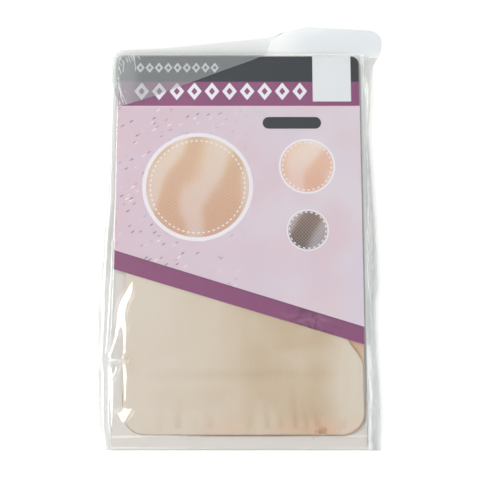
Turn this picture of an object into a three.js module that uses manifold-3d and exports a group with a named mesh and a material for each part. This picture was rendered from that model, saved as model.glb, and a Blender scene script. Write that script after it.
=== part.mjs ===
// A stocking wig cap laid flat between two cards in a clear film bag.
// Millimetres, +Z up. The pack lies on its back on the plane z = 0, with the head of the cards
// towards +Y and the closed end of the cap towards -Y. All pieces are first placed about the
// middle of the back card, and the pack is then centred on its own footprint.
import * as THREE from 'three';
import { mergeVertices } from 'three/addons/utils/BufferGeometryUtils.js';
import Module from 'manifold-3d';

const wasm = await Module();
wasm.setup();

// Cap, as it lies flat
const capWidth = 121;
const capLength = 172;
const capShift = 2.4;         // the cap lies a little to the right on the card
const capHollow = 0.7;        // between the two layers of the flattened crown
const crownRadius = 11.5;     // round corners of the closed end
const crownWall = 2.2;        // closed end, where both layers come together
const knitThickness = 0.8;
const shelfWidth = 0.7;       // the lower layer shows this far beyond the upper one
const hemDepth = 15;
const hemInset = 2;           // the hem draws in on each side
const hemThickness = 0.9;     // the hem is doubled knit
const hemHollow = 0.5;
const seamRadius = 0.4;
const seamReach = 20;         // how far the seam runs up each side
const gatherWidth = 2.6;
const swellDepth = 0.14;      // soft rise and fall over the whole crown

// Cards
const sideMargin = 3;         // card beyond the cap on each side
const toeMargin = 7.2;        // card beyond the closed end
const headMargin = 24;        // card beyond the hem
const backBoard = 0.5;
const coverBoard = 0.4;
const coverShift = -0.6;      // the printed card lies a little to the left
const cardCorner = 4.5;
const windowLeft = 89.8;      // height of the part below the printed card, at its left side
const windowRight = 51.5;     // and at its right side

// Bag
const filmThickness = 0.3;
const sealWidth = 1;
const sideRoom = 6;           // loose film between the contents and the seal on each side
const sealLift = 1.6;         // height of the side seals above the ground
const mouthRoom = 0.9;        // front film beyond the head of the card
const coverHold = 6;          // the film stays level this far below the printed card's edge
const coverFall = 20;         // and comes down to the cap over this length
const creaseHeight = 1.1;     // ridges in the loose film at the left side
const creaseWidth = 3.2;
const hollowEdge = 0.08;      // height of the crown's hollow at its thinnest edge
const footEdge = 0.1;         // height of the front film's foot where it is lowest
const flapReach = 15;         // flap beyond the mouth, where it lies flat
const flapCorner = 5;
const flapFlare = 1.9;        // the free end stands out past the bag on the right
const flapBulge = 2.7;        // the folded part stands out to the left past its own root
const flapTuck = 3.2;         // its fold draws in this far at its left end
const flapTipShift = 2.6;     // and its tip lies this far to the right

const restGap = 0.3;          // clearance between pieces that touch

const cardWidth = capWidth + 2 * sideMargin;
const cardLength = toeMargin + capLength + headMargin;
const cardHead = cardLength / 2;
const cardFoot = -cardLength / 2;
const capLoft = 2 * knitThickness + capHollow;
const hemLoft = 2 * hemThickness + hemHollow;

// Heights, from the ground up
const backLevel = filmThickness + restGap;
const capLevel = backLevel + backBoard + restGap;
const coverLevel = capLevel + Math.max(capLoft, hemLoft) + restGap;
const filmLevel = coverLevel + coverBoard + restGap;
const flapLevel = filmLevel + filmThickness + restGap;

const mix = (a, b, share) => a + (b - a) * share;
const clamp01 = (value) => Math.min(1, Math.max(0, value));
const ease = (share) => clamp01(share) ** 2 * (3 - 2 * clamp01(share));
const bell = (distance, width) => Math.exp(-((distance / width) ** 2));

// Closed solids

function manifoldOf(geometry) {
  const bare = geometry.clone();
  bare.deleteAttribute('normal');
  bare.deleteAttribute('uv');
  const merged = mergeVertices(bare);
  return new wasm.Manifold(new wasm.Mesh({
    numProp: 3,
    vertProperties: new Float32Array(merged.attributes.position.array),
    triVerts: new Uint32Array(merged.index.array),
  }));
}

function geometryOf(solid) {
  const { vertProperties, triVerts } = solid.getMesh();
  const geometry = new THREE.BufferGeometry();
  geometry.setAttribute('position', new THREE.BufferAttribute(vertProperties, 3));
  geometry.setIndex(new THREE.BufferAttribute(triVerts, 1));
  return geometry;
}

// A sheet with two faces over one grid, with walls round its edge. pointsAt(i, j) gives the under
// and over point there, for a grid whose columns run to +X and whose rows run to +Y.
function sheetSolid(columns, rows, pointsAt) {
  const positions = [];
  const index = [];
  const grid = (face) => Array.from({ length: rows }, (_, j) => Array.from({ length: columns }, (__, i) => {
    positions.push(...pointsAt(i, j)[face]);
    return positions.length / 3 - 1;
  }));
  const strip = (first, second) => {
    for (let k = 1; k < first.length; k += 1) {
      index.push(first[k - 1], first[k], second[k], first[k - 1], second[k], second[k - 1]);
    }
  };
  const column = (face, i) => face.map((row) => row.at(i));
  const under = grid('under');
  const over = grid('over');
  for (let j = 1; j < rows; j += 1) {
    strip(over[j - 1], over[j]);
    strip(under[j], under[j - 1]);
  }
  strip(under[0], over[0]);
  strip(over.at(-1), under.at(-1));
  strip(column(over, 0), column(under, 0));
  strip(column(under, -1), column(over, -1));
  const geometry = new THREE.BufferGeometry();
  geometry.setAttribute('position', new THREE.BufferAttribute(new Float32Array(positions), 3));
  geometry.setIndex(index);
  return manifoldOf(geometry);
}

// The same for a sheet whose faces are two heights over one place.
function heightSolid(columns, rows, placeAt) {
  return sheetSolid(columns, rows, (i, j) => {
    const { x, y, low, high } = placeAt(i, j);
    return { under: [x, y, low], over: [x, y, high] };
  });
}

// Materials

const looks = {
  knit: { color: 0xd2c0a6, roughness: 0.85, metalness: 0 },
  hem: { color: 0xc4ad8e, roughness: 0.85, metalness: 0 },
  thread: { color: 0x8f775c, roughness: 0.8, metalness: 0 },
  white_board: { color: 0xe6e6e2, roughness: 0.75, metalness: 0 },
  printed_card: { color: 0xcab8c6, roughness: 0.45, metalness: 0 },
  film: { color: 0xe8ecec, roughness: 0.1, metalness: 0, transparent: true, opacity: 0.25 },
};

function namedMesh(name, geometry, look) {
  const mesh = new THREE.Mesh(geometry, new THREE.MeshStandardMaterial(looks[look]));
  mesh.name = name;
  return mesh;
}

// Cards

// A card's outline, with round corners at its head and a foot that may slant.
function cardShape({ left, right, head, footLeft, footRight, headCorner }) {
  const shape = new THREE.Shape();
  shape.moveTo(left, footLeft);
  shape.lineTo(right, footRight);
  shape.lineTo(right, head - headCorner);
  shape.absarc(right - headCorner, head - headCorner, headCorner, 0, Math.PI / 2);
  shape.lineTo(left + headCorner, head);
  shape.absarc(left + headCorner, head - headCorner, headCorner, Math.PI / 2, Math.PI);
  shape.closePath();
  return shape;
}

function card(name, look, outline, thickness, level) {
  const geometry = new THREE.ExtrudeGeometry(cardShape(outline), {
    depth: thickness,
    bevelEnabled: false,
    curveSegments: 6,
  });
  const mesh = namedMesh(name, geometryOf(manifoldOf(geometry)), look);
  mesh.position.z = level;
  return mesh;
}

function backCard() {
  return card('back_card', 'white_board', {
    left: -cardWidth / 2,
    right: cardWidth / 2,
    head: cardHead,
    footLeft: cardFoot,
    footRight: cardFoot,
    headCorner: cardCorner,
  }, backBoard, backLevel);
}

const coverLeft = coverShift - cardWidth / 2;
const coverRight = coverShift + cardWidth / 2;
const windowEdge = (x) => cardFoot + mix(windowLeft, windowRight, (x - coverLeft) / cardWidth);

function frontCard() {
  return card('front_card', 'printed_card', {
    left: coverLeft,
    right: coverRight,
    head: cardHead,
    footLeft: windowEdge(coverLeft),
    footRight: windowEdge(coverRight),
    headCorner: cardCorner,
  }, coverBoard, coverLevel);
}

// Cap

const capFoot = cardFoot + toeMargin;
const crownLength = capLength - hemDepth - restGap;
const capLeft = capShift - capWidth / 2;
const capRight = capShift + capWidth / 2;

// Sections of the crown above its round corners. along is a share of the crown's length, tuck is
// how far the upper layer draws in from the right side, as a share of the cap's width.
const crownSections = [
  { along: 0.105, tuck: 0 },
  { along: 0.135, tuck: 0 },
  { along: 0.17, tuck: 0 },
  { along: 0.2, tuck: 0 },
  { along: 0.227, tuck: 0.002 },
  { along: 0.256, tuck: 0.023 },
  { along: 0.285, tuck: 0.052 },
  { along: 0.32, tuck: 0.08 },
  { along: 0.38, tuck: 0.1 },
  { along: 0.47, tuck: 0.11 },
  { along: 0.6, tuck: 0.1 },
  { along: 0.75, tuck: 0.07 },
  { along: 0.88, tuck: 0.035 },
  { along: 1, tuck: 0 },
];
const cornerTurns = [0, 12, 28, 46, 66, 90];   // degrees
const crownDivisions = 26;

// The rolled side of the flattened tube. out is how far in from the side, rise is the height there,
// both as shares of the loft.
const sideRoll = [
  { out: 0, rise: 0.4 },
  { out: 0.16, rise: 0.78 },
  { out: 0.5, rise: 1 },
];
const rollReach = sideRoll.at(-1).out;
const endRise = 0.5;          // height of the closed end, as a share of the loft
const endRun = 3;             // it is reached over this many times the loft

// Gathers that run up from the closed end. across and lean are shares of the cap's width, from its
// middle, reach is a share of its length, depth of the hollow's height and width of gatherWidth.
const gathers = [
  { across: -0.275, lean: 0.02, reach: 0.13, depth: 0.34, width: 1.3 },
  { across: -0.14, lean: 0.0, reach: 0.09, depth: 0.4, width: 1 },
  { across: 0.02, lean: 0.02, reach: 0.1, depth: 0.23, width: 1 },
  { across: 0.1, lean: -0.02, reach: 0.14, depth: 0.46, width: 1 },
  { across: 0.155, lean: -0.01, reach: 0.08, depth: 0.34, width: 0.8 },
  { across: 0.215, lean: -0.02, reach: 0.18, depth: 0.57, width: 1 },
  { across: 0.265, lean: -0.03, reach: 0.12, depth: 0.46, width: 0.9 },
  { across: 0.315, lean: -0.04, reach: 0.1, depth: 0.57, width: 1 },
  { across: 0.4, lean: 0.02, reach: 0.09, depth: 0.29, width: 1.2 },
];
const deepestGather = capHollow * Math.max(...gathers.map(({ depth }) => depth));

function cornerInset(rise) {
  const left = crownRadius - rise;
  return left > 0 ? crownRadius - Math.sqrt(crownRadius ** 2 - left ** 2) : 0;
}

function gatherDip(x, rise) {
  return capHollow * gathers.reduce((sum, { across, lean, reach, depth, width }) => {
    const run = rise / (reach * capLength);
    const place = capShift + (across + lean * run) * capWidth;
    return sum + depth * ease(1 - run) * bell(x - place, width * gatherWidth);
  }, 0);
}

// Soft, slow waves over the crown. They only lower it, by at most 3.2 times swellDepth.
function swellDip(x, rise) {
  const slow = Math.sin((16.5 * x) / capWidth + 1.2) * Math.cos((28.5 * rise) / capWidth + 0.4);
  const cross = 0.6 * Math.sin((7.1 * x) / capWidth - (5.8 * rise) / capWidth);
  return swellDepth * (1.6 - slow - cross);
}

function crownRows() {
  const corner = cornerTurns.map((degrees) => {
    const turn = THREE.MathUtils.degToRad(degrees);
    return { rise: crownRadius * (1 - Math.cos(turn)), tuck: 0 };
  });
  const straight = crownSections.map(({ along, tuck }) => ({
    rise: along * crownLength,
    tuck: tuck * capWidth,
  }));
  return [...corner, ...straight];
}

// Stops across one section of the crown, from left to right: the rolled side, the top, the rolled
// edge of the upper layer, and the lower layer's own edge beyond it. share is the height there as a
// share of the loft, and soft is how much of the gathers and waves it takes.
function crownStops({ rise, tuck }) {
  const left = capLeft + cornerInset(rise);
  const right = capRight - cornerInset(rise);
  const ridge = right - shelfWidth - tuck;
  const rollWidth = rollReach * capLoft;
  const side = sideRoll.map(({ out, rise: share }) => ({ x: left + out * capLoft, share, soft: 0.5 }));
  const top = Array.from({ length: crownDivisions - 1 }, (_, k) => ({
    x: mix(left + rollWidth, ridge - rollWidth, (k + 1) / crownDivisions),
    share: 1,
    soft: 1,
  }));
  const upperEdge = [...sideRoll].reverse().map(({ out, rise: share }) => ({
    x: ridge - out * capLoft,
    share: mix(share, 1, 0.5),
    soft: 0.5,
  }));
  const tucked = clamp01(tuck / (2 * capLoft));
  const lowerEdge = { x: right, share: mix(sideRoll[0].rise, knitThickness / capLoft, tucked), soft: 0 };
  return [...side, ...top, ...upperEdge, lowerEdge];
}

function crownSolid() {
  const rows = crownRows();
  const stops = rows.map(crownStops);
  const outer = heightSolid(stops[0].length, rows.length, (i, j) => {
    const { rise } = rows[j];
    const { x, share, soft } = stops[j][i];
    const end = mix(endRise, 1, ease(rise / (endRun * capLoft)));
    const loft = capLoft - soft * (gatherDip(x, rise) + swellDip(x, rise));
    return { x, y: capFoot + rise, low: capLevel, high: capLevel + share * end * loft };
  });
  return outer.subtract(crownHollow(rows));
}

// The space inside the flattened tube. It starts behind the closed end and leaves at the hem.
function crownHollow(rows) {
  const wall = knitThickness + rollReach * capLoft;
  const inside = rows.filter(({ rise }) => rise >= crownWall && rise < crownLength);
  const leaving = { rise: crownLength + restGap, tuck: rows.at(-1).tuck };
  const stations = [{ rise: crownWall, tuck: 0 }, ...inside, leaving];
  const floor = capLevel + knitThickness;
  const ceiling = floor + capHollow - deepestGather;
  return heightSolid(2, stations.length, (i, j) => {
    const { rise, tuck } = stations[j];
    const inset = cornerInset(rise - crownWall / 2);
    return {
      x: i === 0 ? capLeft + inset + wall : capRight - inset - shelfWidth - tuck - wall,
      y: capFoot + rise,
      low: floor,
      high: mix(floor + hollowEdge, ceiling, ease((rise - crownWall) / (endRun * capLoft))),
    };
  });
}

function capCrown() {
  return namedMesh('cap_crown', geometryOf(crownSolid()), 'knit');
}

// Rows of the hem. along is a share of its depth, and share of its loft.
const hemRows = [
  { along: 0, share: 0.88 },
  { along: 0.08, share: 1 },
  { along: 0.92, share: 1 },
  { along: 1, share: 0.88 },
];

function hemBand() {
  const foot = capFoot + crownLength + restGap;
  const left = capLeft + hemInset;
  const right = capRight - hemInset;
  const stops = [
    ...sideRoll.map(({ out, rise }) => ({ x: left + out * hemLoft, share: rise })),
    ...[...sideRoll].reverse().map(({ out, rise }) => ({ x: right - out * hemLoft, share: rise })),
  ];
  const outer = heightSolid(stops.length, hemRows.length, (i, j) => ({
    x: stops[i].x,
    y: foot + hemRows[j].along * hemDepth,
    low: capLevel,
    high: capLevel + hemLoft * stops[i].share * hemRows[j].share,
  }));
  const wall = hemThickness + rollReach * hemLoft;
  const hollow = heightSolid(2, 2, (i, j) => ({
    x: i === 0 ? left + wall : right - wall,
    y: j === 0 ? foot - restGap : foot + hemDepth + restGap,
    low: capLevel + hemThickness,
    high: capLevel + hemThickness + hemHollow,
  }));
  return namedMesh('hem_band', geometryOf(outer.subtract(hollow)), 'hem');
}

// The sewn seam that closes the crown runs round the closed end, just outside it.
function crownSeam() {
  const stand = restGap + seamRadius;
  const bend = crownRadius + stand;
  const turnSteps = 6;
  const straightSteps = 4;
  const leftBend = capLeft + crownRadius;
  const rightBend = capRight - crownRadius;
  const point = (x, y) => new THREE.Vector3(x, y, capLevel + seamRadius);
  const points = [point(capLeft - stand, capFoot + seamReach)];
  for (let k = 0; k <= turnSteps; k += 1) {
    const turn = Math.PI * (1 + k / turnSteps / 2);
    points.push(point(leftBend + bend * Math.cos(turn), capFoot + crownRadius + bend * Math.sin(turn)));
  }
  for (let k = 1; k < straightSteps; k += 1) {
    points.push(point(mix(leftBend, rightBend, k / straightSteps), capFoot - stand));
  }
  for (let k = 0; k <= turnSteps; k += 1) {
    const turn = (Math.PI / 2) * (k / turnSteps - 1);
    points.push(point(rightBend + bend * Math.cos(turn), capFoot + crownRadius + bend * Math.sin(turn)));
  }
  points.push(point(capRight + stand, capFoot + seamReach));
  const section = new THREE.Shape();
  section.absarc(0, 0, seamRadius, 0, 2 * Math.PI);
  const geometry = new THREE.ExtrudeGeometry(section, {
    extrudePath: new THREE.CatmullRomCurve3(points, false, 'centripetal'),
    steps: 44,
    curveSegments: 3,
  });
  return namedMesh('crown_seam', geometryOf(manifoldOf(geometry)), 'thread');
}

// Bag

const bagFoot = cardFoot - restGap - filmThickness;
const mouth = cardHead + mouthRoom;
const pouchLength = mouth - bagFoot;
const fillLeft = Math.min(coverLeft, capLeft - 2 * seamRadius) - restGap;
const fillRight = Math.max(coverRight, capRight + 2 * seamRadius) + restGap;

// Sections of the pouch. along is a share of its length from the foot. left and right are how much
// loose film lies beside the contents, as shares of sideRoom. fill is how high the film stands over
// the cap, as a share of its height over the printed card.
const pouchSections = [
  { along: 0, left: 0.15, right: 0.87, fill: 0 },
  { along: 0.012, left: 0.19, right: 0.88, fill: 0.18 },
  { along: 0.032, left: 0.36, right: 0.90, fill: 0.74 },
  { along: 0.067, left: 0.70, right: 0.91, fill: 0.86 },
  { along: 0.103, left: 0.82, right: 0.91, fill: 0.86 },
  { along: 0.15, left: 0.87, right: 0.85, fill: 0.87 },
  { along: 0.19, left: 0.91, right: 0.79, fill: 0.87 },
  { along: 0.23, left: 0.95, right: 0.71, fill: 0.88 },
  { along: 0.27, left: 1.00, right: 0.67, fill: 0.9 },
  { along: 0.31, left: 1.02, right: 0.64, fill: 0.92 },
  { along: 0.355, left: 1.03, right: 0.70, fill: 0.94 },
  { along: 0.405, left: 0.90, right: 0.95, fill: 0.97 },
  { along: 0.475, left: 0.72, right: 0.91, fill: 1 },
  { along: 0.54, left: 0.64, right: 0.84, fill: 1 },
  { along: 0.575, left: 0.42, right: 0.79, fill: 1 },
  { along: 0.63, left: 0.32, right: 0.68, fill: 1 },
  { along: 0.71, left: 0.30, right: 0.55, fill: 1 },
  { along: 0.79, left: 0.30, right: 0.41, fill: 1 },
  { along: 0.86, left: 0.30, right: 0.64, fill: 1 },
  { along: 0.93, left: 0.28, right: 0.83, fill: 1 },
  { along: 0.972, left: 0.23, right: 0.91, fill: 0.98 },
  { along: 0.99, left: 0.06, right: 1.23, fill: 0.96 },
  { along: 1, left: 0.04, right: 1.51, fill: 0.93 },
];
const openFoot = 0.8;         // below this fill the film is still rising from the foot

// Fall of the film from the contents out to the seal, as shares of the way and of the height.
const sideFall = [
  { reach: 1, drop: 1 },
  { reach: 0.72, drop: 0.9 },
  { reach: 0.42, drop: 0.6 },
  { reach: 0.16, drop: 0.18 },
  { reach: 0, drop: 0 },
];
const fillStops = [0.02, 0.045, 0.075, 0.12, 0.2, 0.31, 0.43, 0.55, 0.61, 0.67, 0.78, 0.87, 0.94, 0.98];

// The side seals leave the ground at the foot and come down again just before the mouth, as shares
// of the pouch's length.
const liftRun = 0.055;
const liftEnd = 0.99;

// Ridges in the loose film. across is a share of the contents' width from its left side and along a
// share of the pouch's length, at each end of the ridge.
const filmRidges = [
  { across: [0.075, -0.02], along: [0.4, 0.215], rise: 1 },
  { across: [0.04, 0.055], along: [0.29, 0.07], rise: 0.8 },
  { across: [-0.02, 0.05], along: [0.215, 0.2], rise: 0.7 },
  { across: [0.075, 0.02], along: [0.1, 0.06], rise: 0.7 },
];
const ridgeEnd = 0.12;        // a ridge starts this share of the way up its own arch

function ridgeRise(x, y) {
  const place = new THREE.Vector2(x, y);
  return filmRidges.reduce((sum, { across, along, rise }) => {
    const [start, end] = [0, 1].map((k) => new THREE.Vector2(
      mix(fillLeft, fillRight, across[k]),
      bagFoot + along[k] * pouchLength,
    ));
    const run = end.clone().sub(start);
    const share = clamp01(place.clone().sub(start).dot(run) / run.lengthSq());
    const off = start.clone().addScaledVector(run, share).distanceTo(place);
    const arch = Math.sin(Math.PI * mix(ridgeEnd, 1 - ridgeEnd, share));
    return sum + rise * creaseHeight * arch * bell(off, creaseWidth);
  }, 0);
}

// Under face of the front film over the contents: at full height over the printed card and just
// below its slanted edge, and lower over the rest of the cap.
function filmUnderside(x, y, fill) {
  const belowEdge = windowEdge(x) - y;
  const held = ease(1 - (belowEdge - coverHold) / coverFall);
  const level = fill < openFoot || y > cardHead ? fill : mix(fill, 1, held);
  return mix(capLevel, filmLevel, level);
}

// Stops across the pouch, from its left seal to its right one. Those over the contents lie a share
// of their width from the left, the others a share of the way from the contents to the seal.
function pouchStops() {
  return [
    ...sideFall.map((fall) => ({ side: 'left', ...fall })),
    ...fillStops.map((reach) => ({ side: 'none', reach, drop: 0 })),
    ...[...sideFall].reverse().map((fall) => ({ side: 'right', ...fall })),
  ];
}

function stopPlace({ side, reach }, leftSeal, rightSeal) {
  if (side === 'left') {
    return mix(fillLeft, leftSeal, reach);
  }
  return side === 'right' ? mix(fillRight, rightSeal, reach) : mix(fillLeft, fillRight, reach);
}

// One place of the pouch's grid, with the heights of its back film and of its front film, both on
// their under side. The first and last columns are the outer edges of the two side seals.
function pouchPoint(stops, i, j) {
  const { along, left, right, fill } = pouchSections[j];
  const stop = stops[Math.min(Math.max(i - 1, 0), stops.length - 1)];
  const leftSeal = fillLeft - left * sideRoom;
  const rightSeal = fillRight + right * sideRoom;
  const x = stopPlace(stop, leftSeal, rightSeal);
  const y = bagFoot + along * pouchLength;
  const lift = sealLift * ease(along / liftRun) * ease((liftEnd - along) / liftRun);
  const over = filmUnderside(Math.min(Math.max(x, fillLeft), fillRight), y, fill);
  const ridge = stop.drop < 1 ? ridgeRise(x, y) * (1 - stop.drop / 2) : 0;
  const back = lift * stop.drop ** 2;
  const rest = back + filmThickness + restGap;
  const front = Math.max(mix(over, lift + filmThickness + restGap, stop.drop) + ridge, rest + footEdge);
  const place = { x, y, back, front };
  if (i === 0) {
    return { ...place, x: leftSeal - sealWidth };
  }
  return i === stops.length + 1 ? { ...place, x: rightSeal + sealWidth } : place;
}

// The front film. Its first row is the foot, where it turns down to the back film.
function bagFront() {
  const stops = pouchStops();
  const solid = sheetSolid(stops.length + 2, pouchSections.length + 1, (i, j) => {
    const { x, y, front } = pouchPoint(stops, i, Math.max(j - 1, 0));
    const inside = j < 2 ? y + filmThickness : y;
    if (j === 0) {
      return { under: [x, inside, filmThickness + restGap], over: [x, y, filmThickness + restGap] };
    }
    return { under: [x, inside, front], over: [x, y, front + filmThickness] };
  });
  return namedMesh('bag_front', geometryOf(solid), 'film');
}

// Sections of the flap, from left to right. across is a share of the mouth's width. flat is the
// length that lies on the ground, as a share of flapReach. turn is how much of a half turn the
// film makes back over the bag, and tail is the length after it, as a share of flapReach.
const flapSections = [
  { across: 0, flat: 0.03, turn: 1, tail: 1.96 },
  { across: 0.11, flat: 0.07, turn: 1, tail: 1.72 },
  { across: 0.2, flat: 0.12, turn: 1, tail: 1.46 },
  { across: 0.3, flat: 0.22, turn: 1, tail: 1.21 },
  { across: 0.39, flat: 0.31, turn: 1, tail: 0.98 },
  { across: 0.46, flat: 0.37, turn: 1, tail: 0.8 },
  { across: 0.52, flat: 0.43, turn: 1, tail: 0.65 },
  { across: 0.57, flat: 0.48, turn: 0.99, tail: 0.52 },
  { across: 0.62, flat: 0.46, turn: 0.62, tail: 0.1 },
  { across: 0.71, flat: 0.45, turn: 0.22, tail: 0.1 },
  { across: 0.79, flat: 0.44, turn: 0.1, tail: 0.08 },
  { across: 0.89, flat: 0.42, turn: 0.04, tail: 0.06 },
  { across: 1, flat: 0.4, turn: 0.01, tail: 0.05 },
];
const bendLength = (Math.PI * flapLevel) / 2;
const flatSteps = 3;
const bendSteps = 7;
const tailSteps = 4;
const bulgeGrip = 6;          // powers that keep the bulge and the round corner to their own side
const cornerGrip = 12;

// The flap's shape at any share of the mouth's width, between two rows of the table.
function flapSectionAt(across) {
  const next = Math.max(1, flapSections.findIndex((row) => row.across >= across));
  const a = flapSections[next - 1];
  const b = flapSections[next];
  const share = (across - a.across) / (b.across - a.across);
  return {
    flat: mix(a.flat, b.flat, share),
    turn: mix(a.turn, b.turn, share),
    tail: mix(a.tail, b.tail, share),
  };
}

// Middle line of the flap at one section, from the mouth on: y, z, the way it heads and the length
// run so far. The bend has one length all over, so a smaller turn is a wider bend.
function flapLine({ flat, turn, tail }) {
  const flatLength = flat * flapReach;
  const tailLength = tail * flapReach;
  const fullTurn = turn * Math.PI;
  const bendRadius = bendLength / fullTurn;
  const bendPoint = (share) => ({
    y: mouth + flatLength + bendRadius * Math.sin(share * fullTurn),
    z: bendRadius * (1 - Math.cos(share * fullTurn)),
    heading: share * fullTurn,
    run: flatLength + share * bendLength,
  });
  const points = [];
  for (let k = 0; k < flatSteps; k += 1) {
    const run = (flatLength * k) / flatSteps;
    points.push({ y: mouth + run, z: 0, heading: 0, run });
  }
  for (let k = 0; k < bendSteps; k += 1) {
    points.push(bendPoint(k / bendSteps));
  }
  const bendEnd = bendPoint(1);
  for (let k = 0; k <= tailSteps; k += 1) {
    const length = (tailLength * k) / tailSteps;
    points.push({
      y: bendEnd.y + length * Math.cos(fullTurn),
      z: bendEnd.z + length * Math.sin(fullTurn),
      heading: fullTurn,
      run: bendEnd.run + length,
    });
  }
  return points;
}

// Under and over point of the flap, k steps from the mouth, at a place of the mouth's width.
function flapPoints(x, across, k) {
  const section = flapSectionAt(across);
  const line = flapLine(section);
  const { y, z, heading, run } = line[k];
  const length = line.at(-1).run;
  const arch = Math.sin((Math.PI * run) / length);
  const foldArch = Math.sin(Math.PI * clamp01(run / (2 * section.flat * flapReach + bendLength)));
  const cornerRun = Math.min(Math.max(run - (length - flapCorner), 0), flapCorner);
  const rounding = flapCorner - Math.sqrt(flapCorner ** 2 - cornerRun ** 2);
  const leftMove = (flapTipShift * run) / length - flapBulge * arch + flapTuck * foldArch;
  const leftShift = (1 - across) ** bulgeGrip * leftMove;
  const rightShift = across ** cornerGrip * (flapFlare * arch - rounding);
  const place = x + leftShift + rightShift;
  const half = filmThickness / 2;
  return {
    under: [place, y + half * Math.sin(heading), z + half - half * Math.cos(heading)],
    over: [place, y - half * Math.sin(heading), z + half + half * Math.cos(heading)],
  };
}

// The back film, which runs on into the flap.
function bagBack() {
  const stops = pouchStops();
  const columns = stops.length + 2;
  const rows = pouchSections.length;
  const mouthX = (i) => pouchPoint(stops, i, rows - 1).x;
  const acrossMouth = (i) => (mouthX(i) - mouthX(0)) / (mouthX(columns - 1) - mouthX(0));
  const flapRows = flatSteps + bendSteps + tailSteps;
  const solid = sheetSolid(columns, rows + flapRows, (i, j) => {
    if (j >= rows) {
      return flapPoints(mouthX(i), acrossMouth(i), j - rows + 1);
    }
    const { x, y, back } = pouchPoint(stops, i, j);
    return { under: [x, y, back], over: [x, y, back + filmThickness] };
  });
  return namedMesh('bag_back', geometryOf(solid), 'film');
}

// The pack, centred on its own footprint

const pack = new THREE.Group();
pack.add(bagBack(), backCard(), capCrown(), hemBand(), crownSeam(), frontCard(), bagFront());
const footprint = new THREE.Box3().setFromObject(pack);
const middle = footprint.getCenter(new THREE.Vector3());
pack.position.set(-middle.x, -middle.y, -footprint.min.z);

const wigCapPack = new THREE.Group();
wigCapPack.add(pack);

export default wigCapPack;
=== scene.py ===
import functools
import math
import random

import bpy
import numpy as np
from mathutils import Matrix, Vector, noise
from mathutils.bvhtree import BVHTree


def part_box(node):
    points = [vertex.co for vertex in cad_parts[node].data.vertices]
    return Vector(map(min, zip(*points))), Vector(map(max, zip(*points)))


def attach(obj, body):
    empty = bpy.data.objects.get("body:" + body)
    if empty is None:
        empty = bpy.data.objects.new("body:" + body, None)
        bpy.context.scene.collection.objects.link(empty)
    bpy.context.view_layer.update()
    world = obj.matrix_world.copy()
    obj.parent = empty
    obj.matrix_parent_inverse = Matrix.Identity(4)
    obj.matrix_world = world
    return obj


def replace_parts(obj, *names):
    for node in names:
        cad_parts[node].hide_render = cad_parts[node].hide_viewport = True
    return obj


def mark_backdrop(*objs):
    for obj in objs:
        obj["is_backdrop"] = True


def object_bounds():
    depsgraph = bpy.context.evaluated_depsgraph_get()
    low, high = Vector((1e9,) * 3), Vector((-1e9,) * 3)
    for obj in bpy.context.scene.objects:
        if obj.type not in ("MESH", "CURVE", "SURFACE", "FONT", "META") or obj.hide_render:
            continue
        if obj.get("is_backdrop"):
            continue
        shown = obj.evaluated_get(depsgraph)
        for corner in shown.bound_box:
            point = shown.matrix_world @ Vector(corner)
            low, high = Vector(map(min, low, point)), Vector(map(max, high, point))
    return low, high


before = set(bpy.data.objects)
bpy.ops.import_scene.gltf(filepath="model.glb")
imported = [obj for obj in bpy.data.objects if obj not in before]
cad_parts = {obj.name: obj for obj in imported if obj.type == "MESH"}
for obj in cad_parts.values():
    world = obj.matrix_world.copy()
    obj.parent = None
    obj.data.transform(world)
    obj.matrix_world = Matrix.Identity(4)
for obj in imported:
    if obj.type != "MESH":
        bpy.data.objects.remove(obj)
CAD_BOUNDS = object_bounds()

MM = 0.001

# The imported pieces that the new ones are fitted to
BOARD_LOW, BOARD_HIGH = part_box("back_card")
COVER_LOW, COVER_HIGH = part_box("front_card")
CROWN_LOW, CROWN_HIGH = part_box("cap_crown")
HEM_LOW, HEM_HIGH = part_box("hem_band")
SEAM_LOW, SEAM_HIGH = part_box("crown_seam")
FRONT_LOW, FRONT_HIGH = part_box("bag_front")
CARD_WIDTH = COVER_HIGH.x - COVER_LOW.x
CAP_WIDTH = CROWN_HIGH.x - CROWN_LOW.x
CROWN_LENGTH = CROWN_HIGH.y - CROWN_LOW.y
CAP_LENGTH = HEM_HIGH.y - CROWN_LOW.y

# Camera, as the photograph was taken: focal length in pixels of a 480 pixel wide frame
PHOTO_SIZE = 480
FOCAL_PIXELS = 1000
SENSOR = 36.0
CAMERA_ELEVATION = math.radians(80)
CAMERA_DISTANCE = 0.515
CAMERA_TARGET = Vector((-1.9, -4.2, 0)) * MM
CAMERA_BACK = Vector((0, -math.cos(CAMERA_ELEVATION), math.sin(CAMERA_ELEVATION)))
CAMERA_PLACE = CAMERA_TARGET + CAMERA_BACK * CAMERA_DISTANCE

# Lamps and table, in metres and watts
LAMPS = {
    "broad_lamp": {"place": Vector((-0.75, -0.75, 1.25)), "size": (1.1, 1.1), "power": 7.4},
    "fill_lamp": {"place": Vector((0.8, -0.5, 1.1)), "size": (1.2, 1.2), "power": 7},
    "crease_lamp": {"place": Vector((-0.62, 0.2, 0.95)), "size": (1.0, 0.4), "power": 9,
                    "tone": (1.0, 0.97, 0.9)},
}
SKY_TONE = (0.98, 0.99, 1.0, 1.0)
TABLE_TONE = (0.84, 0.84, 0.84, 1.0)
TABLE_SIZE = 6
TABLE_DROP = 0.05 * MM

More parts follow.
